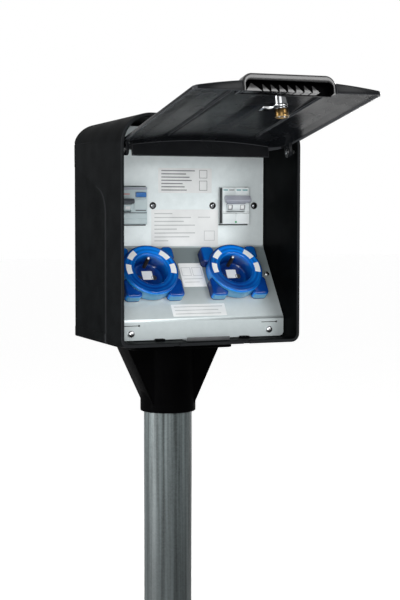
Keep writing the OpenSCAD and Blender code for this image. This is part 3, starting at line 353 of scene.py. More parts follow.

# %% [markdown]
# ## The list of finishes
# Black plastic comes in four glosses, because the shell, lid, handle and adaptor differ by their gloss and
# hardly by their colour. The blue of the sockets runs through eight stops, from the dark of thick plastic to
# the pale of an edge; which stop a point takes is partly the plastic's depth and partly painted light and
# shade.

# %% The list of finishes
TINT = [(0.0, (0.001, 0.003, 0.03)), (0.15, (0.002, 0.016, 0.11)), (0.3, (0.002, 0.046, 0.25)),
        (0.45, (0.003, 0.1, 0.38)), (0.6, (0.005, 0.2, 0.78)), (0.72, (0.014, 0.26, 0.72)),
        (0.85, (0.06, 0.25, 0.46)), (1.0, (0.15, 0.36, 0.52))]
FINISH = {
    # The edge colours of the shell and the lid paint highlights along their rims and rounded edges.
    "shell": moulding("satin black shell", (0.0018, 0.0021, 0.0023), (0.003, 0.0035, 0.0038), (0.4, 0.5), 0.2,
                      edge=(0.035, 0.037, 0.04), Specular_IOR_Level=0.004),
    "lid": moulding("smooth black lid", (0.004, 0.0046, 0.0056), (0.006, 0.0068, 0.008), (0.2, 0.3), 0.08,
                    edge=(0.036, 0.038, 0.041), Specular_IOR_Level=0.075),
    "handle": moulding("gloss black handle", (0.003, 0.003, 0.0033), (0.0055, 0.0055, 0.006), (0.16, 0.24),
                       0.04, Specular_IOR_Level=0.42),
    "adaptor": moulding("plain black adaptor", (0.0005, 0.0005, 0.0006), (0.0009, 0.0009, 0.001), (0.4, 0.55),
                        0.2, Specular_IOR_Level=0.006),
    # The sheet's dim colour is painted shade, laid on the faces with the dim mark.
    "panel": zinc("zinc sheet", (0.71, 0.78, 0.79), (0.79, 0.86, 0.87), (0.36, 0.42), 260.0, 0.1,
                  dim=((0.12, 0.16, 0.17), 0.74, 0.42, 0.79, 1.0), Metallic=0.38),
    "post": zinc("galvanised tube", (0.015, 0.02, 0.02), (0.112, 0.135, 0.138), (0.42, 0.58), 500.0, 0.06,
                 170.0, (1.0, 1.0, 0.02), ((0.01, 0.013, 0.014), 0.4, 0.6, 0.61, 0.0), Metallic=0.1,
                 Specular_IOR_Level=0.3),
    "rail": zinc("rail zinc", (0.5, 0.5, 0.48), (0.66, 0.66, 0.63), (0.25, 0.4), 300.0),
    "screw": zinc("screw zinc", (0.4, 0.41, 0.42), (0.58, 0.59, 0.6), (0.2, 0.34), 900.0),
    "chrome": zinc("lock chrome", (0.12, 0.125, 0.13), (0.17, 0.175, 0.18), (0.06, 0.13), 500.0),
    "cam": zinc("cam zinc", (0.42, 0.43, 0.44), (0.54, 0.55, 0.56), (0.1, 0.18), 500.0),
    "brass": zinc("turned brass", (0.05, 0.03, 0.01), (0.11, 0.068, 0.026), (0.16, 0.3), 700.0),
    "cap": zinc("dull screw", (0.16, 0.17, 0.18), (0.26, 0.27, 0.28), (0.2, 0.3), 900.0),
    "faint": moulding("faint print", (0.4, 0.42, 0.43), (0.5, 0.52, 0.53), (0.45, 0.6), 0.04, 2500.0),
    "stem": zinc("dull brass", (0.012, 0.008, 0.006), (0.03, 0.02, 0.012), (0.4, 0.5), 700.0, Metallic=0.5),
    # A near-white tip: a painted glint.
    "bright": zinc("painted tip glint", (0.86, 0.86, 0.85), (0.95, 0.95, 0.94), (0.2, 0.3), 900.0, Metallic=0.3),
    "ring": zinc("bright brass", (0.3, 0.2, 0.08), (0.44, 0.3, 0.13), (0.16, 0.3), 700.0),
    "white": moulding("white device", (0.66, 0.72, 0.73), (0.74, 0.79, 0.8), (0.35, 0.45), 0.05),
    "grey": moulding("grey device", (0.45, 0.55, 0.57), (0.52, 0.62, 0.64), (0.35, 0.45), 0.05),
    "pale": moulding("pale device", (0.5, 0.6, 0.62), (0.57, 0.67, 0.69), (0.35, 0.45), 0.05),
    "keeper": moulding("grey keeper", (0.05, 0.052, 0.055), (0.075, 0.078, 0.082), (0.4, 0.5), 0.05),
    "lavender": moulding("lavender toggle", (0.33, 0.35, 0.41), (0.41, 0.43, 0.49), (0.25, 0.35), 0.03),
    "dark_toggle": moulding("dark toggle", (0.06, 0.07, 0.085), (0.1, 0.11, 0.125), (0.3, 0.4), 0.03),
    "button": moulding("blue button", (0.03, 0.16, 0.46), (0.06, 0.22, 0.56), (0.2, 0.3), 0.03),
    "carrier": moulding("dark carrier", (0.012, 0.013, 0.016), (0.02, 0.022, 0.026), (0.45, 0.6), 0.1),
    "rubber": moulding("black rubber", (0.006, 0.006, 0.006), (0.011, 0.011, 0.011), (0.6, 0.75), 0.2),
    "bush": moulding("hinge bush", (0.012, 0.012, 0.013), (0.02, 0.02, 0.021), (0.4, 0.5), 0.05),
    "card": moulding("blank card", (0.73, 0.75, 0.75), (0.8, 0.82, 0.82), (0.4, 0.55), 0.06, 2500.0),
    "print": moulding("grey print", (0.17, 0.18, 0.19), (0.25, 0.26, 0.27), (0.45, 0.6), 0.04, 2500.0),
    "teal": moulding("teal print", (0.05, 0.24, 0.26), (0.08, 0.32, 0.34), (0.4, 0.5), 0.04, 2500.0),
    "red": moulding("red print", (0.5, 0.03, 0.02), (0.6, 0.05, 0.03), (0.4, 0.5), 0.04, 2500.0),
    "green": moulding("green dot", (0.02, 0.26, 0.1), (0.04, 0.34, 0.14), (0.3, 0.4), 0.04, 2500.0),
    "blue": tinted("tinted blue", TINT, (0.08, 0.14), Specular_IOR_Level=0.3, Coat_Weight=0.12,
                   Subsurface_Weight=0.4, Subsurface_Radius=(0.2, 0.6, 1.0), Subsurface_Scale=0.012),
}
print("finishes:", len(FINISH))

# %% [markdown]
# ## Grids
# A new piece is a set of point grids. Points could be added one by one, but a grid is worked out as a whole
# array. `quads` numbers the corners of its faces, and `sheet` hands on the points and faces together.


# %% Grids
def quads(rows, cols, wrap_cols=False):
    """Corner numbers of the quads of a grid whose points are counted row by row; wrapping joins the last
    column to the first."""
    r, c = np.meshgrid(np.arange(rows - 1), np.arange(cols - (not wrap_cols)), indexing="ij")
    beside = (c + 1) % cols
    corners = (r * cols + c, r * cols + beside, (r + 1) * cols + beside, (r + 1) * cols + c)
    return np.stack(corners, -1).reshape(-1, 4).tolist()


def sheet(grid, wrap_cols=False, caps=()):
    """Points and faces of a grid of shape (rows, cols, 3); caps closes the first (0) or last (-1) row with
    one face."""
    rows, cols = grid.shape[:2]
    ends = {0: list(range(cols)), -1: list(range((rows - 1) * cols, rows * cols))}
    return grid.reshape(-1, 3), quads(rows, cols, wrap_cols) + [ends[end] for end in caps]


print("grid helpers ready: quads, sheet")

# %% [markdown]
# ## Pieces
# `make` joins the grids of a piece to one mesh, merges seams and poles, and turns the faces outwards. `dress`
# smooths all but the sharp edges, gives the finish, and rides the piece on its body. Heights count from the
# box's underside, which lies `BOX_FOOT` above the floor.

# %% Pieces
MM = 0.001
BOX_FOOT = 700.0
SMOOTH, MERGE = radians(32.0), 1e-6


def dress(name, mesh, body, finish, replaces=()):
    """Smooths a mesh up to an angle, gives it its finish, and rides it on a body for the nodes it stands
    for."""
    mesh.shade_smooth()
    mesh.set_sharp_from_angle(angle=SMOOTH)
    mesh.materials.clear()
    mesh.materials.append(FINISH[finish])
    piece = bpy.data.objects.new(name, mesh)
    bpy.context.scene.collection.objects.link(piece)
    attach(piece, body)
    if replaces:
        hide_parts(*replaces)


def make(name, sheets, body, finish, replaces=(), marks=None):
    """The mesh of one piece, from a list of sheets in the box frame (millimetres over the box's
    underside)."""
    points = np.concatenate([p for p, _ in sheets]) + (0.0, 0.0, BOX_FOOT)
    starts = np.cumsum([0] + [len(p) for p, _ in sheets[:-1]])
    faces = [[i + start for i in face] for start, (_, corners) in zip(starts, sheets) for face in corners]
    mesh = bpy.data.meshes.new(name)
    mesh.from_pydata((points * MM).tolist(), [], faces)
    for mark, values in (marks or {}).items():
        mesh.attributes.new(mark, "FLOAT", "POINT").data.foreach_set("value", np.ravel(values))
    shell = bmesh.new()
    shell.from_mesh(mesh)
    bmesh.ops.remove_doubles(shell, verts=shell.verts, dist=MERGE)
    bmesh.ops.recalc_face_normals(shell, faces=shell.faces)
    shell.to_mesh(mesh)
    shell.free()
    dress(name, mesh, body, finish, replaces)
    return mesh


print("piece helpers ready: dress, make")

# %% [markdown]
# ## Finishes on the solids
# Every solid takes the finish of its material slot. Slots and finishes are paired by name, so a solid
# that is not replaced below already looks right.

# %% Dress the solids
SLOT_FINISH = {
    "shell_black": "shell", "adaptor_black": "adaptor", "handle_black": "handle", "post_zinc": "post",
    "panel_zinc": "panel", "rail_zinc": "rail", "screw_zinc": "screw", "lock_chrome": "chrome",
    "brass": "brass", "device_white": "white", "device_grey": "grey", "toggle_lavender": "lavender",
    "toggle_dark": "dark_toggle", "button_blue": "button", "socket_blue": "blue", "carrier_dark": "carrier",
    "rubber_black": "rubber", "bush_white": "bush",
}
NODE_SLOT = {part["node"]: part["material_slot"] for part in frame["record"]["subparts"]}
NODE_FINISH = {node: SLOT_FINISH[slot] for node, slot in NODE_SLOT.items()}
for node, solid in frame["nodes"].items():
    solid.data.materials.clear()
    solid.data.materials.append(FINISH[NODE_FINISH[node]])
print("dressed", len(NODE_SLOT), "solids")

# %% [markdown]
# ## Places
# Flat pieces are drawn in a plane of their own, x across, y up and z out of it, and then placed: on the
# upright panel, on the slope under it, on the flap, or on the lid, which is drawn closed and swung open
# about its hinge.

# %% Places
FRONT, BACK = -143.8, 30.5
PANEL_Y, KINK_Z, FLAP_Y, BEND_Z = -50.0, 111.6, -109.6, 28.0
DEVICE_Z, DEVICE_X, NOSE_OUT = 161.7, 67.1, 8.0
LEAN = pi / 2 - atan2(PANEL_Y - FLAP_Y, KINK_Z - BEND_Z)
LID_IN = -139.8
HINGE = np.array([0.0, -132.2, 225.5])
SWING = radians(101.75)


def placed(piece, origin, across, up, out):
    """Moves a sheet from its own plane to origin + x across + y up + z out."""
    points, faces = piece
    return np.asarray(origin) + points @ np.array([across, up, out]), faces


def on_panel(piece, u, z, out=0.0):
    """On the upright panel, z over the box's underside."""
    return placed(piece, (u, PANEL_Y - out, z), (1, 0, 0), (0, 0, 1), (0, -1, 0))


def on_flap(piece, u, z):
    """On the flap, z over the box's underside."""
    return placed(piece, (u, FLAP_Y, z), (1, 0, 0), (0, 0, 1), (0, -1, 0))


def on_slope(piece, u, v, out=0.0):
    """On the slope, v down from the upper bend."""
    up = np.array([0.0, cos(LEAN), sin(LEAN)])
    away = np.array([0.0, -sin(LEAN), cos(LEAN)])
    return placed(piece, np.array([u, PANEL_Y, KINK_Z]) - v * up + out * away, (1, 0, 0), up, away)


def on_lid(piece, x=0.0, z=0.0, depth=0.0):
    """On the lid, drawn closed: z over the box's underside, depth behind its inner face; then swung
    open."""
    points, faces = placed(piece, (x, LID_IN + depth, z), (-1, 0, 0), (0, 0, 1), (0, 1, 0))
    c, s = cos(SWING), sin(SWING)
    return (points - HINGE) @ np.array([(1, 0, 0), (0, c, -s), (0, s, c)]) + HINGE, faces


print("slope leans", round(degrees(LEAN), 2), "degrees from the floor's plane")

# %% [markdown]
# ## Plates and turned forms
# Two shapes come back all over the post: a slab with rounded corners and a rounded upper edge, and a
# profile turned about an axis. Both are grids whose columns run round the form and whose rows climb it.


# %% Plates and turned forms
def rounded_loop(w, h, r, steps=6):
    """Loop round a rectangle: four quarter circles of radius r, joined by straight lines."""
    a = np.linspace(0.0, pi / 2, steps)
    x, y = w / 2 - r, h / 2 - r
    arcs = [np.column_stack([cx + r * np.cos(a + k * pi / 2), cy + r * np.sin(a + k * pi / 2)])
            for k, (cx, cy) in enumerate(((x, y), (-x, y), (-x, -y), (x, -y)))]
    return np.concatenate(arcs)


def plate(w, h, r, low, high, edge=0.2, steps=6):
    """Slab with a rounded upper edge: the loop is drawn in by edge (1 - cos a) as it rises by edge sin
    a."""
    a = np.linspace(0.0, pi / 2, 4)
    drawn = np.append(0.0, edge * (1 - np.cos(a)))
    height = np.append(low, high - edge + edge * np.sin(a))
    loops = [rounded_loop(w - 2 * d, h - 2 * d, max(r - d, 0.02), steps) for d in drawn]
    rings = [np.column_stack([loop, np.full(len(loop), z)]) for loop, z in zip(loops, height)]
    return sheet(np.stack(rings), wrap_cols=True, caps=(0, -1))


def lathe(profile, turns=64):
    """Surface of turning a profile of (radius, height) about the z axis."""
    profile = np.asarray(profile, float)
    t = np.linspace(0.0, 2 * pi, turns, endpoint=False)
    x = profile[:, :1] * np.cos(t)
    y = profile[:, :1] * np.sin(t)
    return sheet(np.stack([x, y, np.broadcast_to(profile[:, 1:], x.shape)], -1), wrap_cols=True)


print("shapes ready: plate, lathe")

# %% [markdown]
# ## The hood's outline
# The real hood is one moulding with 4 mm walls: a rounded front rim, a raised band behind it, sides that
# are sunk 1 mm under a rising line, and soft back edges. A bevelled box could not show the band's curved
# corner. So the hood is one grid: around it runs the front view's outline, and along it runs a section
# from the inner back wall forward, over the rim, and back along the outside, where each row steps in at
# its own place.

# %% The hood's outline
HALF_W, BOX_H, WALL = 112.5, 267.0, 4.0
TOP_R, TOP_R_BACK, FOOT_R, FOOT_R_BACK, FOOT_RUN = 36.4, 30.8, 10.0, 1.5, 22.0
ROOF_FALL, CROWN_R, EDGE_R = 0.032, 6.0, 1.5
BAND_Y, FIELD_Z, FIELD_RISE, FIELD_R = FRONT + 53.0, 173.4, radians(17.5), 30.0
PLAIN, LOWER, UPPER = 0, 1, 2


def hood_outline():
    """Front view with sharp corners: floor, lower corner, side, upper corner and top, mirrored to the left.
    Gives points, outward normals and the steps of the lower and the upper corner: a corner of radius r puts
    its points at the sharp corner + r (cos a - 1, sin a -+ 1)."""
    floor_x = np.array([0, 12, 24, 39.8, 40.2, 47.8, 48.2, 60, 75, 90, 100.0])
    low_a = np.linspace(-pi / 2, 0, 7)
    side_z = np.array([11.6, 12.4, 30, 60, 90, 120, 140, 151.4, 157, 162, 167, 171, 174.5, 177.5, 180, 184,
                       188, 192, 196, 200, 204, 208.5, 209.5, 216, 223])
    high_a = np.linspace(0, pi / 2, 16)
    top_x = np.array([60, 45, 30, 15, 0.0])
    runs = [(floor_x, 0 * floor_x, 0 * floor_x - pi / 2, PLAIN),
            (0 * low_a + HALF_W, 0 * low_a, low_a, LOWER),
            (0 * side_z + HALF_W, side_z, 0 * side_z, PLAIN),
            (0 * high_a + HALF_W, 0 * high_a + BOX_H, high_a, UPPER),
            (top_x, 0 * top_x + BOX_H, 0 * top_x + pi / 2, PLAIN)]
    x, z, a = (np.concatenate([run[k] for run in runs]) for k in range(3))
    kind = np.concatenate([np.full(len(run[0]), run[3]) for run in runs])
    points = np.column_stack([x, z])
    normals = np.column_stack([np.cos(a), np.sin(a)]).round(9)
    step = np.column_stack([np.cos(a) - 1, np.sin(a) + np.where(kind == LOWER, 1, -1)])
    low, high = step * (kind == LOWER)[:, None], step * (kind == UPPER)[:, None]
    flip = np.array([-1.0, 1.0])
    return [np.concatenate([part, (part * flip)[-2:0:-1]]) for part in (points, normals, low, high)]


def band_edge(z):
    """Where the raised band ends at height z: upright, then a round corner, then the rising line to the
    back."""
    centre_y = BAND_Y + FIELD_R
    centre_z = FIELD_Z + FIELD_R * np.tan(FIELD_RISE) - FIELD_R / cos(FIELD_RISE)
    turn_y, turn_z = centre_y - FIELD_R * sin(FIELD_RISE), centre_z + FIELD_R * cos(FIELD_RISE)
    arc = centre_y - np.sqrt(np.maximum(FIELD_R ** 2 - np.maximum(z - centre_z, 0.0) ** 2, 0.0))
    line = turn_y + (z - turn_z) / np.tan(FIELD_RISE)
    return np.minimum(np.where(z < turn_z, arc, line), BACK - EDGE_R - 0.6)


print("hood outline:", len(hood_outline()[0]), "points")

# %% [markdown]
# ## The hood's rows
# Each row of the hood is the outline at one depth: its corner radii change on the way back, the roof
# falls, and the points move in by the wall, the rim's round or the sunk field.


# %% The hood's rows
def drawn_in(y, back, r):
    """How far a back edge of radius r draws the outline in at depth y: r - sqrt(r^2 - (y - start)^2)."""
    past = np.clip(y - (back - r), 0.0, r)
    return r - np.sqrt(r * r - past * past)


def hood_rows(outline, y, inset, back, sunk=0.0, crown=CROWN_R, edge=EDGE_R, foot_back=FOOT_R_BACK):
    """Rows of the hood at depths y: corner radii run from their front to their back values, the roof falls
    to the back, and each point moves in by inset, by its back edge and by sunk."""
    points, normals, low, high = outline
    y, inset = np.broadcast_arrays(y, inset)
    nx, nz = normals.T
    q = (y - FRONT) / (BACK - FRONT)
    near = np.clip(1 - (y - FRONT) / FOOT_RUN, 0.0, 1.0)
    foot_r = foot_back + (FOOT_R - foot_back) * near * near * (3 - 2 * near)
    top_r = TOP_R + (TOP_R_BACK - TOP_R) * q
    side = inset + drawn_in(y, back, edge) + sunk
    above = inset + drawn_in(y, back, crown) + ROOF_FALL * (y - FRONT)
    below = inset + drawn_in(y, back, edge)
    x = points[:, 0] + foot_r * low[:, 0] + top_r * high[:, 0] - nx * side
    z = points[:, 1] + foot_r * low[:, 1] + top_r * high[:, 1] - np.where(nz > 0, nz * above, nz * below)
    return np.stack([x, y, z], -1)


print("roof falls by", round(ROOF_FALL * (BACK - FRONT), 1), "mm from front to back")

# %% [markdown]
# ## The hood
# The rows run from the inner back wall to the rim, round it, and back along the outside, past the drain
# notches in the front edge and over the step down to the sunk field. The rim and the line round the field
# carry a painted highlight, so these rows carry a mark for a paler colour. Two floor hooks are added as
# plates.

# %% The hood
RIM_ROUND, INNER_CROWN, INNER_EDGE, INNER_RUN = 0.8, 2.0, 1.0, 20.0
FIELD_LOW, FIELD_HIGH, FIELD_DEEP, STEP_HALF, FADE_RUN = 12.0, 209.0, 1.0, 0.45, 2.0
NOTCH_X, NOTCH_HALF, NOTCH_DEEP, NOTCH_RUN = 44.0, 4.0, 3.5, (3.0, 24.0)
SHEEN_RIM, SHEEN_BAND, SHEEN_LINE, LINE_HIGH = 0.4, 0.03, 0.5, 186.0
HOOK_X, HOOK_Y, HOOK_W, HOOK_L, HOOK_TOP = 54.0, -113.7, 11.0, 7.8, 6.5


def hood():
    """Section rows from the inner back wall forward, over the rim, and back along the outside, with a painted
    highlight on the rim and round the field."""
    outline = hood_outline()
    points, normals = outline[:2]
    x, z = points.T
    is_side = np.abs(normals[:, 0]) > 0.999
    edge = np.where(is_side, band_edge(z), BAND_Y)
    sunk = np.where(is_side & (z > FIELD_LOW) & (z < FIELD_HIGH), FIELD_DEEP, 0.0)
    notch = np.where((np.abs(np.abs(x) - NOTCH_X) < NOTCH_HALF) & (normals[:, 1] < -0.5), NOTCH_DEEP, 0.0)
    wide = np.ones(len(points))
    q = np.linspace(0.0, 1.0, 12)[:, None]
    inner_y = (BACK - WALL) * (1 - q ** 2) + (FRONT + INNER_RUN) * q ** 2
    inner = hood_rows(outline, inner_y * wide, WALL, BACK - WALL, 0.0, INNER_CROWN, INNER_EDGE, FOOT_R)
    a = np.linspace(0.0, pi / 2, 5)[:, None]
    rim_y = RIM_ROUND * np.concatenate([1 - np.sin(a), 1 - np.cos(a)]) + FRONT
    rim_inset = np.concatenate([WALL - RIM_ROUND * (1 - np.cos(a)), RIM_ROUND * (1 - np.sin(a))])
    rim = hood_rows(outline, rim_y + notch, rim_inset * wide, BACK)
    foot_y = FRONT + np.linspace(*NOTCH_RUN, 6)[:, None] + notch
    foot = hood_rows(outline, foot_y, 0.0, BACK)
    q = np.linspace(0.0, 1.0, 28)[:, None]
    past_step = edge + STEP_HALF
    outer_y = np.concatenate([(edge - STEP_HALF)[None], past_step + (BACK - past_step) * (1 - (1 - q) ** 2)])
    fade = np.clip((BACK - outer_y) / FADE_RUN, 0.0, 1.0) * sunk
    fade[0] = 0.0
    outer = hood_rows(outline, outer_y, 0.0, BACK, fade)
    grid = np.concatenate([inner, rim, foot, outer])
    # The rows of the rim, the band and the line round the field carry a painted highlight.
    painted_edge_sheen = np.zeros(grid.shape[:2])
    band = len(inner) + len(rim)
    line = band + len(foot) + 1
    painted_edge_sheen[len(inner) + 3:band - 1] = SHEEN_RIM
    painted_edge_sheen[band:line + 1, is_side] = SHEEN_BAND
    painted_edge_sheen[line, is_side & (z < LINE_HIGH)] = SHEEN_LINE
    return sheet(grid, wrap_cols=True, caps=(0, -1)), painted_edge_sheen


shell, painted_edge_sheen = hood()
hook = plate(HOOK_W, HOOK_L, 1.0, WALL - 0.4, HOOK_TOP, 0.6)
hooks = [placed(hook, (x, HOOK_Y, 0.0), (1, 0, 0), (0, 1, 0), (0, 0, 1)) for x in (-HOOK_X, HOOK_X)]
marks = np.concatenate([painted_edge_sheen.ravel(), np.zeros(len(hooks) * len(hook[0]))])
hood_mesh = make("hood", [shell] + hooks, "post", "shell", ("housing",), {"painted_edge_sheen": marks})
print("hood:", len(hood_mesh.polygons), "faces")

# %% [markdown]
# ## Softened solids
# The bent panel, the lid, the devices, the lock and the adaptor have the right shape already, but their
# edges are razor sharp, and real ones catch a line of light. New surfaces would only repeat them. So
# their solids are copied, and the edges are rounded by as much as on the real part: wide on the sheet's
# bends, fine on the devices.

# %% Softened solids
FLAT = radians(0.5)


def softened(node, width, finish=None, least=60, most=120, steps=2):
    """The mesh of a solid's copy whose edges between two angles are cut off round to a width. Its triangles
    are merged and flat neighbours joined first."""
    source = frame["nodes"][node]
    name = node + "_soft"
    mesh = source.data.copy()
    mesh.name = name
    solid = bmesh.new()
    solid.from_mesh(mesh)
    bmesh.ops.remove_doubles(solid, verts=solid.verts, dist=MERGE)
    bmesh.ops.dissolve_limit(solid, angle_limit=FLAT, verts=solid.verts, edges=solid.edges)
    picked = [edge for edge in solid.edges
              if edge.is_manifold and radians(least) < edge.calc_face_angle() < radians(most)]
    bmesh.ops.bevel(solid, geom=picked, offset=width * MM, offset_type="OFFSET", segments=steps, profile=0.5,
                    affect="EDGES", clamp_overlap=False)
    bmesh.ops.recalc_face_normals(solid, faces=solid.faces)
    solid.to_mesh(mesh)
    solid.free()
    dress(name, mesh, source["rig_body"], finish or NODE_FINISH[node], (node,))
    print(name, len(mesh.polygons), "faces")
    return mesh


panel = softened("front_panel", 2.2, "panel", 25, 50, 5)
tray = softened("lid", 0.6, "lid", 50, 130, 3)
softened("post_adaptor", 1.2, "adaptor", 40, 130, 3)
for node in ("rcd_body", "mcb_pole_left", "mcb_pole_right"):
    softened(node, 0.45)
for node in ("rcd_cover", "mcb_covers", "mcb_toggle", "rcd_toggle", "rcd_test_button"):
    softened(node, 0.35)
for node in ("lock_barrel", "lock_nut", "cam_nut", "lock_plug"):
    softened(node, 0.3)
softened("lock_cam", 0.3, "cam")
softened("lock_keeper", 0.3, "keeper")

# %% [markdown]
# ## Marked faces
# The slope mirrors the dark lid and looks dimmer than the upright sheet, so its faces and those of the flap
# carry a mark that lowers their tone: painted shade. The rounded edges of the lid carry a painted highlight,
# away from the hinge. These marks sit on faces, because on the points of one large face they would run across
# it.

# %% Marked faces
SLOPE_SHADE, FLAP_SHADE, UPWARD_FROM, UPWARD_SPAN = 0.84, 0.8, 0.1, 0.4
SMALL_FACE, EAR_X, EAR_R = 7e-5, 0.09, 0.016


def face_values(mesh, name, size):
    """A measure of every face, one column for each of its numbers."""
    values = np.zeros(size * len(mesh.polygons))
    mesh.polygons.foreach_get(name, values)
    return values.reshape(-1, size).T


def mark_faces(mesh, mark, values):
    """Puts a mark on a mesh, one value for each face."""
    mesh.attributes.new(mark, "FLOAT", "FACE").data.foreach_set("value", values)


# Painted shade on the slope, growing as a face turns upwards, and on the flap.
facing_up = face_values(panel, "normal", 3)[2]
dim = SLOPE_SHADE * np.clip((facing_up - UPWARD_FROM) / UPWARD_SPAN, 0.0, 1.0)
dim[face_values(panel, "center", 3)[2] < (BOX_FOOT + BEND_Z) * MM] = FLAP_SHADE
mark_faces(panel, "dim", dim)
# Small faces on the lid's rounded edges, away from the hinge's ears, carry a painted highlight.
x, y, z = face_values(tray, "center", 3)
from_hinge = np.hypot(y - HINGE[1] * MM, z - (BOX_FOOT + HINGE[2]) * MM)
sheen_edges = (face_values(tray, "area", 1)[0] < SMALL_FACE) & ((np.abs(x) < EAR_X) | (from_hinge > EAR_R))
mark_faces(tray, "painted_edge_sheen", np.where(sheen_edges, 1.0, 0.0))
print("marked faces: panel", np.count_nonzero(dim), "lid", np.count_nonzero(sheen_edges))

# %% [markdown]
# ## The handle
# The handle is a bow over a finger pocket at the lid's free edge. It is drawn with the lid closed: x
# across, z up and h away from the lid's inner face. Its section is an arch line that runs from the left
# foot over the top to the right foot. Rows of that line, each a little smaller, make the outside, the
# round front edge and the front face.

# %% The handle
GRIP_HALF, GRIP_UP, GRIP_R, GRIP_FOOT, GRIP_BACK, GRIP_ROUND = 53.0, 19.0, 11.0, 5.0, 17.95, 2.0
MOUTH_HALF, MOUTH_UP, MOUTH_CORNER, POCKET_BACK = 49.6, 11.6, 5.0, 15.5
MOUTH_ROUND = ((0.5, GRIP_FOOT), (0.12, 5.15), (0.0, 5.6))


def arch(half, up, r, h, steps=10):
    """Arch line at depth h: up the left side, round the corner of radius r, across, and down the right
    side."""
    a = np.linspace(pi, pi / 2, steps)
    left = np.column_stack([r - half + r * np.cos(a), up - r + r * np.sin(a)])
    line = np.concatenate([[(-half, 0.0)], left, left[::-1] * (-1, 1), [(half, 0.0)]])
    return np.column_stack([-line[:, 0], np.full(len(line), h), -line[:, 1]])


def arches(rows, caps=()):
    """Sheet of arch rows, with the feet of the arch closed on both sides."""
    points, faces = sheet(np.stack(rows), caps=caps)
    cols = len(rows[0])
    feet = [list(range(first, len(points), cols)) for first in (0, cols - 1)]
    return on_lid((points, faces + feet))


t = np.linspace(0.0, pi / 2, 6)
rounds = zip(GRIP_ROUND * (1 - np.cos(t)), GRIP_ROUND * (1 - np.sin(t)))
bow = [arch(GRIP_HALF, GRIP_UP, GRIP_R, GRIP_BACK)]
bow += [arch(GRIP_HALF - d, GRIP_UP - d, GRIP_R - d, GRIP_FOOT + e) for d, e in rounds]
bow += [arch(MOUTH_HALF + d, MOUTH_UP + d, MOUTH_CORNER + d, h) for d, h in MOUTH_ROUND]
make("handle_bow", [arches(bow)], "lid", "handle", ("handle_grip",))
backs = [arch(GRIP_HALF, GRIP_UP, GRIP_R, h) for h in (GRIP_BACK, GRIP_BACK - 0.05)]
make("handle_back", [arches(backs, (0,))], "lid", "handle")
frame["nodes"]["handle_screws"].data.materials[0] = FINISH["adaptor"]
print("handle bow:", len(bow), "arches")

# %% [markdown]
# ## The finger pocket
# The pocket behind the bow is dull and dark. It holds a row of wedge-shaped teeth whose fronts lean back
# a little towards their peaks, so the light on them fades upwards. The first tooth is wider than the
# others.

# %% The finger pocket
TOOTH_FOOT, TOOTH_FRONT, TOOTH_BACK, TOOTH_LEAN, RIDGE = 0.2, 5.4, 15.4, 1.1, 0.5
TOOTH_W, TOOTH_UP, TOOTH_PITCH, TOOTH_COUNT, SECOND_TOOTH = 7.8, 7.4, 9.4, 7, -30.9
WIDE_TOOTH = (-49.4, -43.5, -32.0, 8.4)


def tooth(x0, peak, x1, up):
    """Wedge from x0 to x1 with its peak over the given place. Its front is upright at the foot and leans
    back with the square of the height, and its ridge then runs on to the pocket's back."""
    share = np.append(np.linspace(0.04, 1.0, 9), 1.0)[:, None, None]
    depth = TOOTH_FRONT + TOOTH_LEAN * share ** 2
    depth[-1] = TOOTH_BACK
    foot = np.array([(x0, TOOTH_FOOT), (x1, TOOTH_FOOT)])
    peaks = np.array([(peak + RIDGE, up), (peak, up)])
    upper = foot[::-1] + (peaks - foot[::-1]) * share
    line = np.concatenate([np.broadcast_to(foot, upper.shape), upper], 1)
    grid = np.concatenate([-line[..., :1], depth * np.ones((1, 4, 1)), -line[..., 1:]], -1)
    return on_lid(sheet(grid, wrap_cols=True, caps=(0, -1)))


walls = [arch(MOUTH_HALF, MOUTH_UP, MOUTH_CORNER, h) for h in (5.6, 10.0, POCKET_BACK)]
make("finger_pocket", [arches(walls, (-1,))], "lid", "adaptor")
peaks = SECOND_TOOTH + TOOTH_PITCH * np.arange(TOOTH_COUNT)
teeth = [tooth(*WIDE_TOOTH)] + [tooth(x, x, x + TOOTH_W, TOOTH_UP) for x in peaks]
make("grip_teeth", teeth, "lid", "handle")
print("finger pocket with", len(teeth), "teeth")

# %% [markdown]
# ## The post
# A drawn steel tube, dipped in zinc: its ends are cut square with a small burr taken off, and a rolled
# line marks how deep it goes into the ground. It is a profile turned about the upright axis.

# %% The post
TUBE_R, TUBE_WALL, TUBE_TOP, BURR = 30.15, 2.9, -6.0, 0.4
GROUND, LINE_DEEP = 300.0, 0.4


def tube():
    """Section from the inner foot up, over the upper rim and down the outside with the rolled line, closed
    on itself."""
    r0, r1, top, foot = TUBE_R - TUBE_WALL, TUBE_R, TUBE_TOP, -BOX_FOOT
    mark = foot + GROUND
    profile = [(r0, foot + BURR), (r0, top - BURR), (r0 + BURR, top), (r1 - BURR, top), (r1, top - BURR)]
    profile += [(r1, -110.0), (r1, -250.0), (r1, mark + 2.2), (r1 - LINE_DEEP, mark + 1.7)]
    profile += [(r1 - LINE_DEEP, mark + 0.3), (r1, mark - 0.2), (r1, foot + 150.0), (r1, foot + BURR)]
    profile += [(r1 - BURR, foot), (r0 + BURR, foot), (r0, foot + BURR)]
    return lathe(profile, 96)


drawn = tube()
dim = np.ones(len(drawn[0]))
post_mesh = make("zinc_tube", [drawn], "post", "post", ("post_tube",), {"dim": dim})
print("post:", len(post_mesh.polygons), "faces")

# %% [markdown]
# ## The sockets' profile
# Each socket is a clear blue moulding: a round body with a rounded rim, a bowl for the plug's nose, two lugs
# above and two feet below. The body is turned from one profile. Light gathers in clear plastic near its edges
# and leaves its thick parts dark, so a mark called "tone" runs along the profile and picks the colour at each
# height. That colour is painted light and shade: it differs between the far and the near side of the ring,
# and the ring's foot and the bowl's floor are darker.

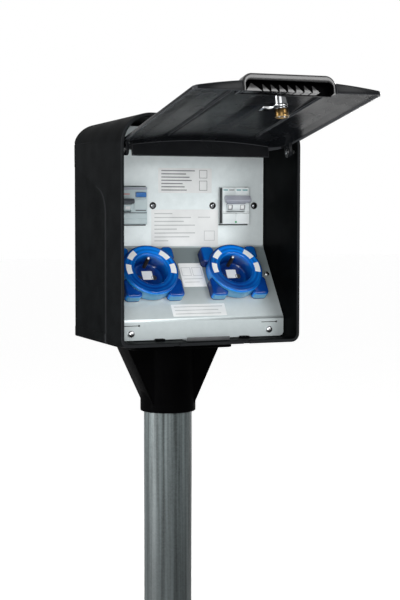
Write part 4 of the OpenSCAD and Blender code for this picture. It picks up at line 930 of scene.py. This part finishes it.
# %% The sockets' profile
SOCKET_X, SOCKET_V, RING_R, RING_H, BOWL_R, BOWL_Z = 54.8, 41.5, 34.4, 16.5, 20.5, -3.8
MOUTH_R, MOUTH_H, MOUTH_EDGE, CREST = 22.3, 16.0, 1.8, 2.4


def dish(r):
    """Height of the sloping face between the rim's crest and the bowl's mouth, at radius r."""
    return MOUTH_H + (RING_H - MOUTH_H) * (r - MOUTH_R) / (RING_R - CREST - MOUTH_R)


def ring_profile():
    """(radius, height, tone, swing) from the outer foot over the crest, the sloping face and the bowl to its
    middle. Tone and swing paint light and shade: swing is how much brighter the far side of the ring is than
    the near side."""
    a = np.linspace(0.0, pi / 2, 6)[:, None]
    rise = np.sin(a)
    far, near = np.where(rise > 0.99, 0.5, 0.06), 0.84 - 0.42 * rise
    crest = np.hstack([RING_R - CREST + CREST * np.cos(a), RING_H - CREST + CREST * rise,
                       (far + near) / 2, (far - near) / 2])
    r = np.linspace(RING_R - CREST - 0.8, MOUTH_R, 13)[:, None]
    face = np.hstack([r, dish(r), 0.44 - 0.07 * np.cos((r - MOUTH_R) * 1.3), 0.0 * r + 0.13])
    mouth = np.hstack([BOWL_R + MOUTH_EDGE * (1 - rise), MOUTH_H - MOUTH_EDGE * (1 - np.cos(a)),
                       0.38 + 0.1 * rise, 0.0 * a + 0.1])
    outer = [(RING_R - 0.8, 0.0, 0.1, 0.0), (RING_R - 0.3, 1.0, 0.12, 0.0), (RING_R - 0.2, 1.6, 0.5, -0.44),
             (RING_R - 0.1, 8.0, 0.52, -0.46), (RING_R, 12.0, 0.47, -0.42)]
    bowl = [(BOWL_R, 11.0, 0.5, 0.0), (BOWL_R, 6.0, 0.4, -0.05), (BOWL_R - 0.2, 0.0, 0.28, -0.06),
            (BOWL_R - 0.6, BOWL_Z + 1.2, 0.28, -0.1), (BOWL_R - 1.8, BOWL_Z, 0.4, -0.1),
            (14.0, BOWL_Z, 0.24, -0.08), (7.0, BOWL_Z, 0.2, 0.0), (0.0, BOWL_Z, 0.2, 0.0)]
    return np.concatenate([outer, crest, face, mouth, bowl])


print("socket profile:", len(ring_profile()), "points")

# %% [markdown]
# ## The sockets' bodies
# A lug or foot is a block with rounded edges beside the ring. Two extra rows near its foot keep a thin dark
# line there, where the clear plastic meets the sheet: painted shade. The feet are painted light on their near
# side and dark on top, and the lugs the other way round, as light and shade fall on them.

# %% The sockets' bodies
SIDES = ((-1, "left"), (1, "right"))
RING_TURNS, FAR_TURN = 96, 0.35
BLOCK_R, BLOCK_EDGE, CORNER_STEPS = 5.0, 2.4, 8
LUGS = [(-30.0, 22.5, 17.0, 23.0), (27.5, 25.0, 15.0, 19.0)]
FEET = [(-26.0, -22.6, 20.0, 25.6), (27.2, -22.6, 20.0, 25.6)]
BLOCKS = ((LUGS, 12.5, 0.12, 0.42), (FEET, 12.0, 0.95, 0.28))
# Painted shade: the dark tone of a block's sides, and the rows that hold the dark line at its foot.
SHADED_SIDE_TONE, FOOT_LINE = 0.12, (1.0, 1.5)


def block(w, h, tall, light, top):
    """Sheet of one block and the painted light and shade of its points: light on its near side, dark round
    its foot and its other sides, and with its own tone on top."""
    rows = plate(w, h, BLOCK_R, 0.0, tall, BLOCK_EDGE, CORNER_STEPS)[0].reshape(-1, 4 * CORNER_STEPS, 3)
    line = [rows[:1] + (0.0, 0.0, up) for up in FOOT_LINE]
    points, faces = sheet(np.concatenate([rows[:1], *line, rows[1:]]), wrap_cols=True, caps=(0, -1))
    near = np.clip((5.5 - h / 2 - points[:, 1]) / 5.0, 0.0, 1.0)
    wall = np.interp(points[:, 2], FOOT_LINE, (0.1, 1.0)) * (SHADED_SIDE_TONE + (light - SHADED_SIDE_TONE) * near)
    upper = np.clip((points[:, 2] - tall + BLOCK_EDGE) / BLOCK_EDGE, 0.0, 1.0)
    return (points, faces), wall + (top - wall) * upper ** (0.5 if light > top else 4.0)


def socket(side):
    """Sheets of one socket on the slope, and the tone of each of their points."""
    profile = ring_profile()
    far = np.sin(np.linspace(0.0, 2 * pi, RING_TURNS, endpoint=False) + FAR_TURN)
    pieces = [lathe(profile[:, :2], RING_TURNS)]
    tones = [(profile[:, 2:3] + profile[:, 3:] * far).ravel()]
    for places, tall, light, top in BLOCKS:
        for x, y, w, h in places:
            (points, faces), tone = block(w, h, tall, light, top)
            pieces.append((points + (x, y, 0.0), faces))
            tones.append(tone)
    return [on_slope(piece, side * SOCKET_X, SOCKET_V) for piece in pieces], np.concatenate(tones)


for side, word in SIDES:
    pieces, tone = socket(side)
    make(word + "_socket", pieces, "post", "blue", (word + "_socket_bezel",), {"tone": tone})
print("sockets: two, with", len(LUGS + FEET), "lugs and feet each")

# %% [markdown]
# ## In the sockets
# In each bowl are the earth pin, whose tip is painted near white for its glint, and two dark discs that paint
# the shade of the pin holes. Four blank white fields lie on the ring and one in the bowl. Pins and holes are
# turned profiles. A field follows the ring, so it is a thin slab with the outline of a piece of ring.

# %% In the sockets
PIN_V, HOLE_X, PIN_TURNS = 15.8, 9.5, 32
INLAY_IN, INLAY_OUT, INLAY_HALF, INLAY_TURNS = 24.6, 31.2, 6.4 / 27.5, (0, 43, 137, 180)


def in_bowl(piece, side, u=0.0, v=0.0):
    """On the floor of one socket's bowl, u to the right of its middle and v above it."""
    return on_slope(piece, side * SOCKET_X + u, SOCKET_V - v, BOWL_Z)


def inlay(side, turn):
    """Blank field on the ring: the outline of a piece of ring between two radii and two angles, drawn as a
    thin slab."""
    t = radians(turn) + np.linspace(-INLAY_HALF, INLAY_HALF, 9)
    r = np.repeat([INLAY_OUT, INLAY_IN], 9)
    t = np.append(t, t[::-1])
    rings = [np.column_stack([r * np.cos(t), r * np.sin(t), dish(r) + up]) for up in (-0.1, 0.15)]
    return on_slope(sheet(np.stack(rings), wrap_cols=True, caps=(0, -1)), side * SOCKET_X, SOCKET_V)


a = np.linspace(0.0, pi / 2, 6)
stem = np.concatenate([[(2.4, 0.0), (2.4, 16.0)],
                       np.column_stack([1.5 + 0.9 * np.cos(a), 17.6 + 0.9 * np.sin(a)])])
for side, word in SIDES:
    pin = in_bowl(lathe(stem, PIN_TURNS), side, v=PIN_V)
    make(word + "_earth_stem", [pin], "post", "stem", (word + "_earth_pin",))
# The tip's near-white finish paints the glint on the earth pin.
tip = lathe(np.column_stack([1.5 * np.cos(a), 18.5 + 1.7 * np.sin(a)]), PIN_TURNS)
make("earth_tip_glints", [in_bowl(tip, side, v=PIN_V) for side, _ in SIDES], "post", "bright")
# Dark discs on the bowl's floor paint the shade of the pin holes.
hole_shade = lathe([(3.4, 0.0), (3.4, 0.35), (3.0, 0.35), (2.9, 0.05), (0.0, 0.05)], PIN_TURNS)
hole_shades = [in_bowl(hole_shade, side, x) for side, _ in SIDES for x in (-HOLE_X, HOLE_X)]
make("pin_hole_shades", hole_shades, "post", "carrier")
fields = [inlay(side, turn) for side, _ in SIDES for turn in INLAY_TURNS]
fields += [in_bowl(plate(13.0, 12.0, 0.6, 0.0, 0.15, 0.05), side, 1.8, 3.6) for side, _ in SIDES]
make("blank_fields", fields, "post", "card")
print("in the sockets:", len(hole_shades), "pin holes,", len(fields), "blank fields")

# %% [markdown]
# ## Shutters and windows
# Under each toggle a curved shutter shows, with small windows in it. It turns with the toggle, so it
# rides on the toggle's body. Each of them is a slab bent about the toggle's axle.

# %% Shutters and windows
NOSE = (PANEL_Y - NOSE_OUT + 5.0, DEVICE_Z)
SHUTTER, SHUTTER_TURN, WINDOW, PANE = (5.0, 7.4), (-60, 14), (7.3, 7.5), (7.3, 7.62)
WINDOWS = [(DEVICE_X - 11.4, DEVICE_X - 5.2), (DEVICE_X + 4.8, DEVICE_X + 11.4)]
PANES = [(x0 + 0.7, x1 - 1.6) for x0, x1 in WINDOWS]
WHOLE = [(DEVICE_X - 11.9, DEVICE_X + 11.9)]
SLABS = {
    "breaker_shutter": ("mcb_toggle", "white", "device_white", WHOLE, SHUTTER, SHUTTER_TURN),
    "breaker_windows": ("mcb_toggle", "print", "device_grey", WINDOWS, WINDOW, (-42, 8)),
    "breaker_panes": ("mcb_toggle", "card", "device_white", PANES, PANE, (-30, 4)),
    "switch_shutter": ("rcd_toggle", "grey", "device_grey", [(-82.0, -70.2)], SHUTTER, SHUTTER_TURN),
    "switch_window": ("rcd_toggle", "card", "device_white", [(-77.3, -71.2)], WINDOW, (-38, -8)),
}


def arc_slab(x0, x1, radii, turn, steps=12):
    """Curved slab about an axle along x in the nose: between two radii and two angles (degrees) over the
    forward level."""
    a = np.radians(np.linspace(*turn, steps))
    out = np.concatenate([radii[1] * np.exp(1j * a), radii[0] * np.exp(1j * a[::-1])])
    ends = [np.column_stack([np.full(len(out), x), NOSE[0] - out.real, NOSE[1] + out.imag]) for x in (x0, x1)]
    return sheet(np.stack(ends), wrap_cols=True, caps=(0, -1))


for name, (body, finish, slot, spans, radii, turn) in SLABS.items():
    make(name, [arc_slab(x0, x1, radii, turn) for x0, x1 in spans], body, finish)
print("bent slabs:", ", ".join(SLABS))

# %% [markdown]
# ## Device fronts
# A device's front tells what it is: printed dashes, a coloured line and dot, and raised fields. Round them
# lie painted shadows by the switch's raised fields, dark plates that paint the shade in the slots where the
# sheet is cut, and a dark plate that paints the shaded left side of the breaker's nose. They are thin plates
# on the noses and on the sheet, each given by its left, right, lower and upper edge.

# %% Device fronts
# Besides print, this table holds painted shadows of the switch: dark bars under and beside its raised fields.
FRONT_MARKS = {
    "breaker_dashes": ("teal", 0.12, [(50.3, 56.4, 180.2, 181.6), (67.9, 74.1, 180.2, 181.6),
                                      (75.8, 82.8, 180.2, 181.6)]),
    "breaker_rules": ("print", 0.12, [(58.0, 65.0, 180.3, 181.5), (49.4, 84.8, 151.9, 152.6),
                                      (49.4, 84.8, 154.0, 154.3)]),
    "switch_line": ("red", 0.12, [(-79.8, -71.0, 175.0, 175.9)]),
    "switch_strip": ("lavender", 0.2, [(-84.9, -49.6, 180.4, 183.4)]),
    "switch_shadows": ("dark_toggle", 0.15, [(-64.0, -50.6, 155.4, 156.5), (-84.9, -49.6, 152.8, 153.6),
                                             (-52.6, -52.2, 140.2, 151.8)]),
}
RAISED = [(-66.2, -50.0, 157.0, 169.4), (-84.9, -49.6, 146.2, 152.2), (-84.9, -49.6, 139.9, 145.6)]
# Dark plates on the sheet paint the shade in the slots where it is cut round the devices.
SLOT_SHADES = [(47.2, 86.6, 137.6, 138.9), (-86.6, -48.0, 184.4, 185.4), (-86.6, -48.0, 137.6, 138.9)]


def boxed(w, h, r, high, edge):
    """A plate whose corner radius and edge are kept under half its sides."""
    least = min(w, h) / 2 - 0.02
    return plate(w, h, min(r, least), 0.0, high, min(edge, least / 2, high * 0.9))


def bars(places, put, out, high, r=0.3, edge=0.08):
    """Thin plates on a face: each place is (left, right, low, high) in that face, put lays it there."""
    return [put(boxed(x1 - x0, z1 - z0, r, high, edge), (x0 + x1) / 2, (z0 + z1) / 2, out)
            for x0, x1, z0, z1 in places]


for name, (finish, high, places) in FRONT_MARKS.items():
    make(name, bars(places, on_panel, NOSE_OUT, high), "post", finish)
make("switch_fields", bars(RAISED, on_panel, NOSE_OUT, 1.3, 0.8, 0.5), "post", "pale")
make("slot_shades", bars(SLOT_SHADES, on_panel, 0.0, 0.1), "post", "carrier")
dot = lathe([(1.3, 0.0), (1.3, 0.1), (1.1, 0.2), (0.0, 0.2)], 24)
make("breaker_dot", [on_panel(dot, 66.6, 141.7, NOSE_OUT + 1.0)], "post", "green")
# A dark plate on the left side of the breaker's nose paints the shade on that side.
cheek_shade = plate(NOSE_OUT - 0.6, 43.6, 0.4, -0.1, 0.12, 0.05)
cheek_shade = placed(cheek_shade, (DEVICE_X - 18.0, PANEL_Y - NOSE_OUT / 2, DEVICE_Z), (0, 1, 0), (0, 0, 1), (-1, 0, 0))
make("breaker_cheek_shade", [cheek_shade], "post", "carrier")
print("device fronts:", sum(len(places) for _, _, places in FRONT_MARKS.values()), "printed marks")

# %% [markdown]
# ## Blank cards
# Four blank paper cards are stuck on the sheet, with grey rules of uneven length and open boxes on them. They
# could be a picture on the sheet, but thin plates stay sharp from near.

# %% Blank cards
PAPER, PAPER_R, PAPER_EDGE = 0.15, 0.8, 0.05
INK, INK_R, INK_EDGE, BOX_LINE = 0.04, 0.1, 0.02, 0.6


def ruled(left, right, top, pitch, thick, shares):
    """Places of ruled lines from the top down; shares gives each line's length as a share of the width."""
    return [(left, left + (right - left) * share, top - k * pitch - thick, top - k * pitch)
            for k, share in enumerate(shares)]


def framed(x0, x1, z0, z1, t=BOX_LINE):
    """Places of the four sides of an open box."""
    return [(x0, x1, z0, z0 + t), (x0, x1, z1 - t, z1), (x0, x0 + t, z0, z1), (x1 - t, x1, z0, z1)]


def up_slope(piece, u, v, out):
    """On the slope, v up from the upper bend, so that it is negative."""
    return on_slope(piece, u, -v, out)


def inked(places, put):
    """Lines on a card's face."""
    return bars(places, put, PAPER, INK, INK_R, INK_EDGE)


upright = [(-32.0, 38.0, 177.0, 207.0), (-41.0, 46.7, 111.8, 157.0)]
sloped = [(-12.0, 18.0, -57.6, -24.0), (-34.4, 34.4, -98.5, -82.0)]
cards = bars(upright, on_panel, 0.0, PAPER, PAPER_R, PAPER_EDGE)
cards += bars(sloped, up_slope, 0.0, PAPER, PAPER_R, PAPER_EDGE)
make("blank_cards", cards, "post", "card")
written = ruled(-28.0, 18.0, 204.6, 3.9, 1.3, (0.95, 0.7, 0.8, 0.86, 0.6, 0.66, 0.72))
written += framed(21.5, 32.0, 195.0, 205.0) + framed(21.5, 32.0, 180.0, 192.0)
noted = ruled(-37.0, 16.0, 152.6, 4.7, 1.1, (0.44, 0.9, 0.72, 1.0, 0.55, 1.0, 0.86, 0.34))
noted += framed(28.0, 42.0, 119.0, 131.0) + ruled(20.0, 36.0, 148.0, 4.0, 0.8, (1.0,))
lined = framed(-10.0, 2.0, -42.0, -30.0) + framed(4.0, 16.0, -42.0, -30.0)
lined += ruled(-9.0, 15.0, -46.0, 4.6, 0.8, (1.0, 0.8))
lined += ruled(-31.0, 31.0, -85.0, 4.8, 1.0, (1.0, 0.9, 0.94))
make("card_lines", inked(written, on_panel), "post", "print")
make("faint_lines", inked(noted, on_panel) + inked(lined, up_slope), "post", "faint")
print("cards:", len(cards), "lines:", len(written) + len(noted) + len(lined))

# %% [markdown]
# ## Screws and lock
# A screw head could stay a flat disc, but a dome catches a small bright spot, as the real one does. So the
# heads are turned domes, and those of the panel sit on black rings that paint the dark reflection round their
# rims. The lock's end has a rim and two pins.

# %% Screws and lock
PANEL_SCREW_X, FLAP_SCREW, SLOPE_SCREW = (-95.0, -39.1, 39.1, 95.0), (88.3, 12.9), (101.5, 41.2)
SMALL_HEAD, FLAP_HEAD, PIN_HEAD, DARK_RING = (3.2, 2.2), (4.0, 3.0), (1.3, 1.0), (3.6, 0.6)
LOCK_Z, LOCK_END, LOCK_PIN_X = 30.0, 19.1, 3.0


def dome(r, h):
    """Screw head: a low cylinder under part of a sphere."""
    a = np.linspace(0.0, pi / 2, 7)
    crown = np.column_stack([r * np.cos(a), 0.35 * h + 0.65 * h * np.sin(a)])
    return lathe(np.concatenate([[(r, 0.0)], crown]), 40)


def dark_ring(r, t):
    """Round ring of middle radius r and thickness 2 t on a face."""
    a = np.linspace(-pi / 2, pi * 1.5, 14)
    return lathe(np.column_stack([r + t * np.cos(a), t + t * np.sin(a)]), 40)


panel_heads = [on_panel(dome(*SMALL_HEAD), x, DEVICE_Z) for x in PANEL_SCREW_X]
make("panel_screw_heads", panel_heads, "post", "cap", ("panel_screws",))
# Black rings under the panel's heads paint the dark reflection round their rims.
dark_rings = [on_panel(dark_ring(*DARK_RING), x, DEVICE_Z) for x in PANEL_SCREW_X]
make("panel_screw_dark_rings", dark_rings, "post", "rubber")
flap_heads = [on_flap(dome(*FLAP_HEAD), side * FLAP_SCREW[0], FLAP_SCREW[1]) for side, _ in SIDES]
make("flap_screw_heads", flap_heads, "post", "screw", ("flap_screws",))
slope_heads = [on_slope(dome(*SMALL_HEAD), side * SLOPE_SCREW[0], SLOPE_SCREW[1]) for side, _ in SIDES]
make("slope_screw_heads", slope_heads, "post", "screw", ("slope_screws",))
rim = lathe([(7.2, -0.6), (7.2, 0.4), (6.9, 0.7), (5.9, 0.7), (5.6, 0.4), (5.6, -0.6)], 48)
make("lock_end_ring", [on_lid(rim, 0.0, LOCK_Z, LOCK_END)], "lock", "ring")
pins = [on_lid(dome(*PIN_HEAD), side * LOCK_PIN_X, LOCK_Z, LOCK_END) for side, _ in SIDES]
make("lock_end_pins", pins, "lock", "screw")
print("screw heads:", len(panel_heads) + len(flap_heads) + len(slope_heads))

# %% [markdown]
# ## Sizes
# The finer surfaces must not change the size of the part. So the box round the dressed part is printed.

# %% Sizes
low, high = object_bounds()
print("visual box:", [round(v, 4) for v in low], [round(v, 4) for v in high])
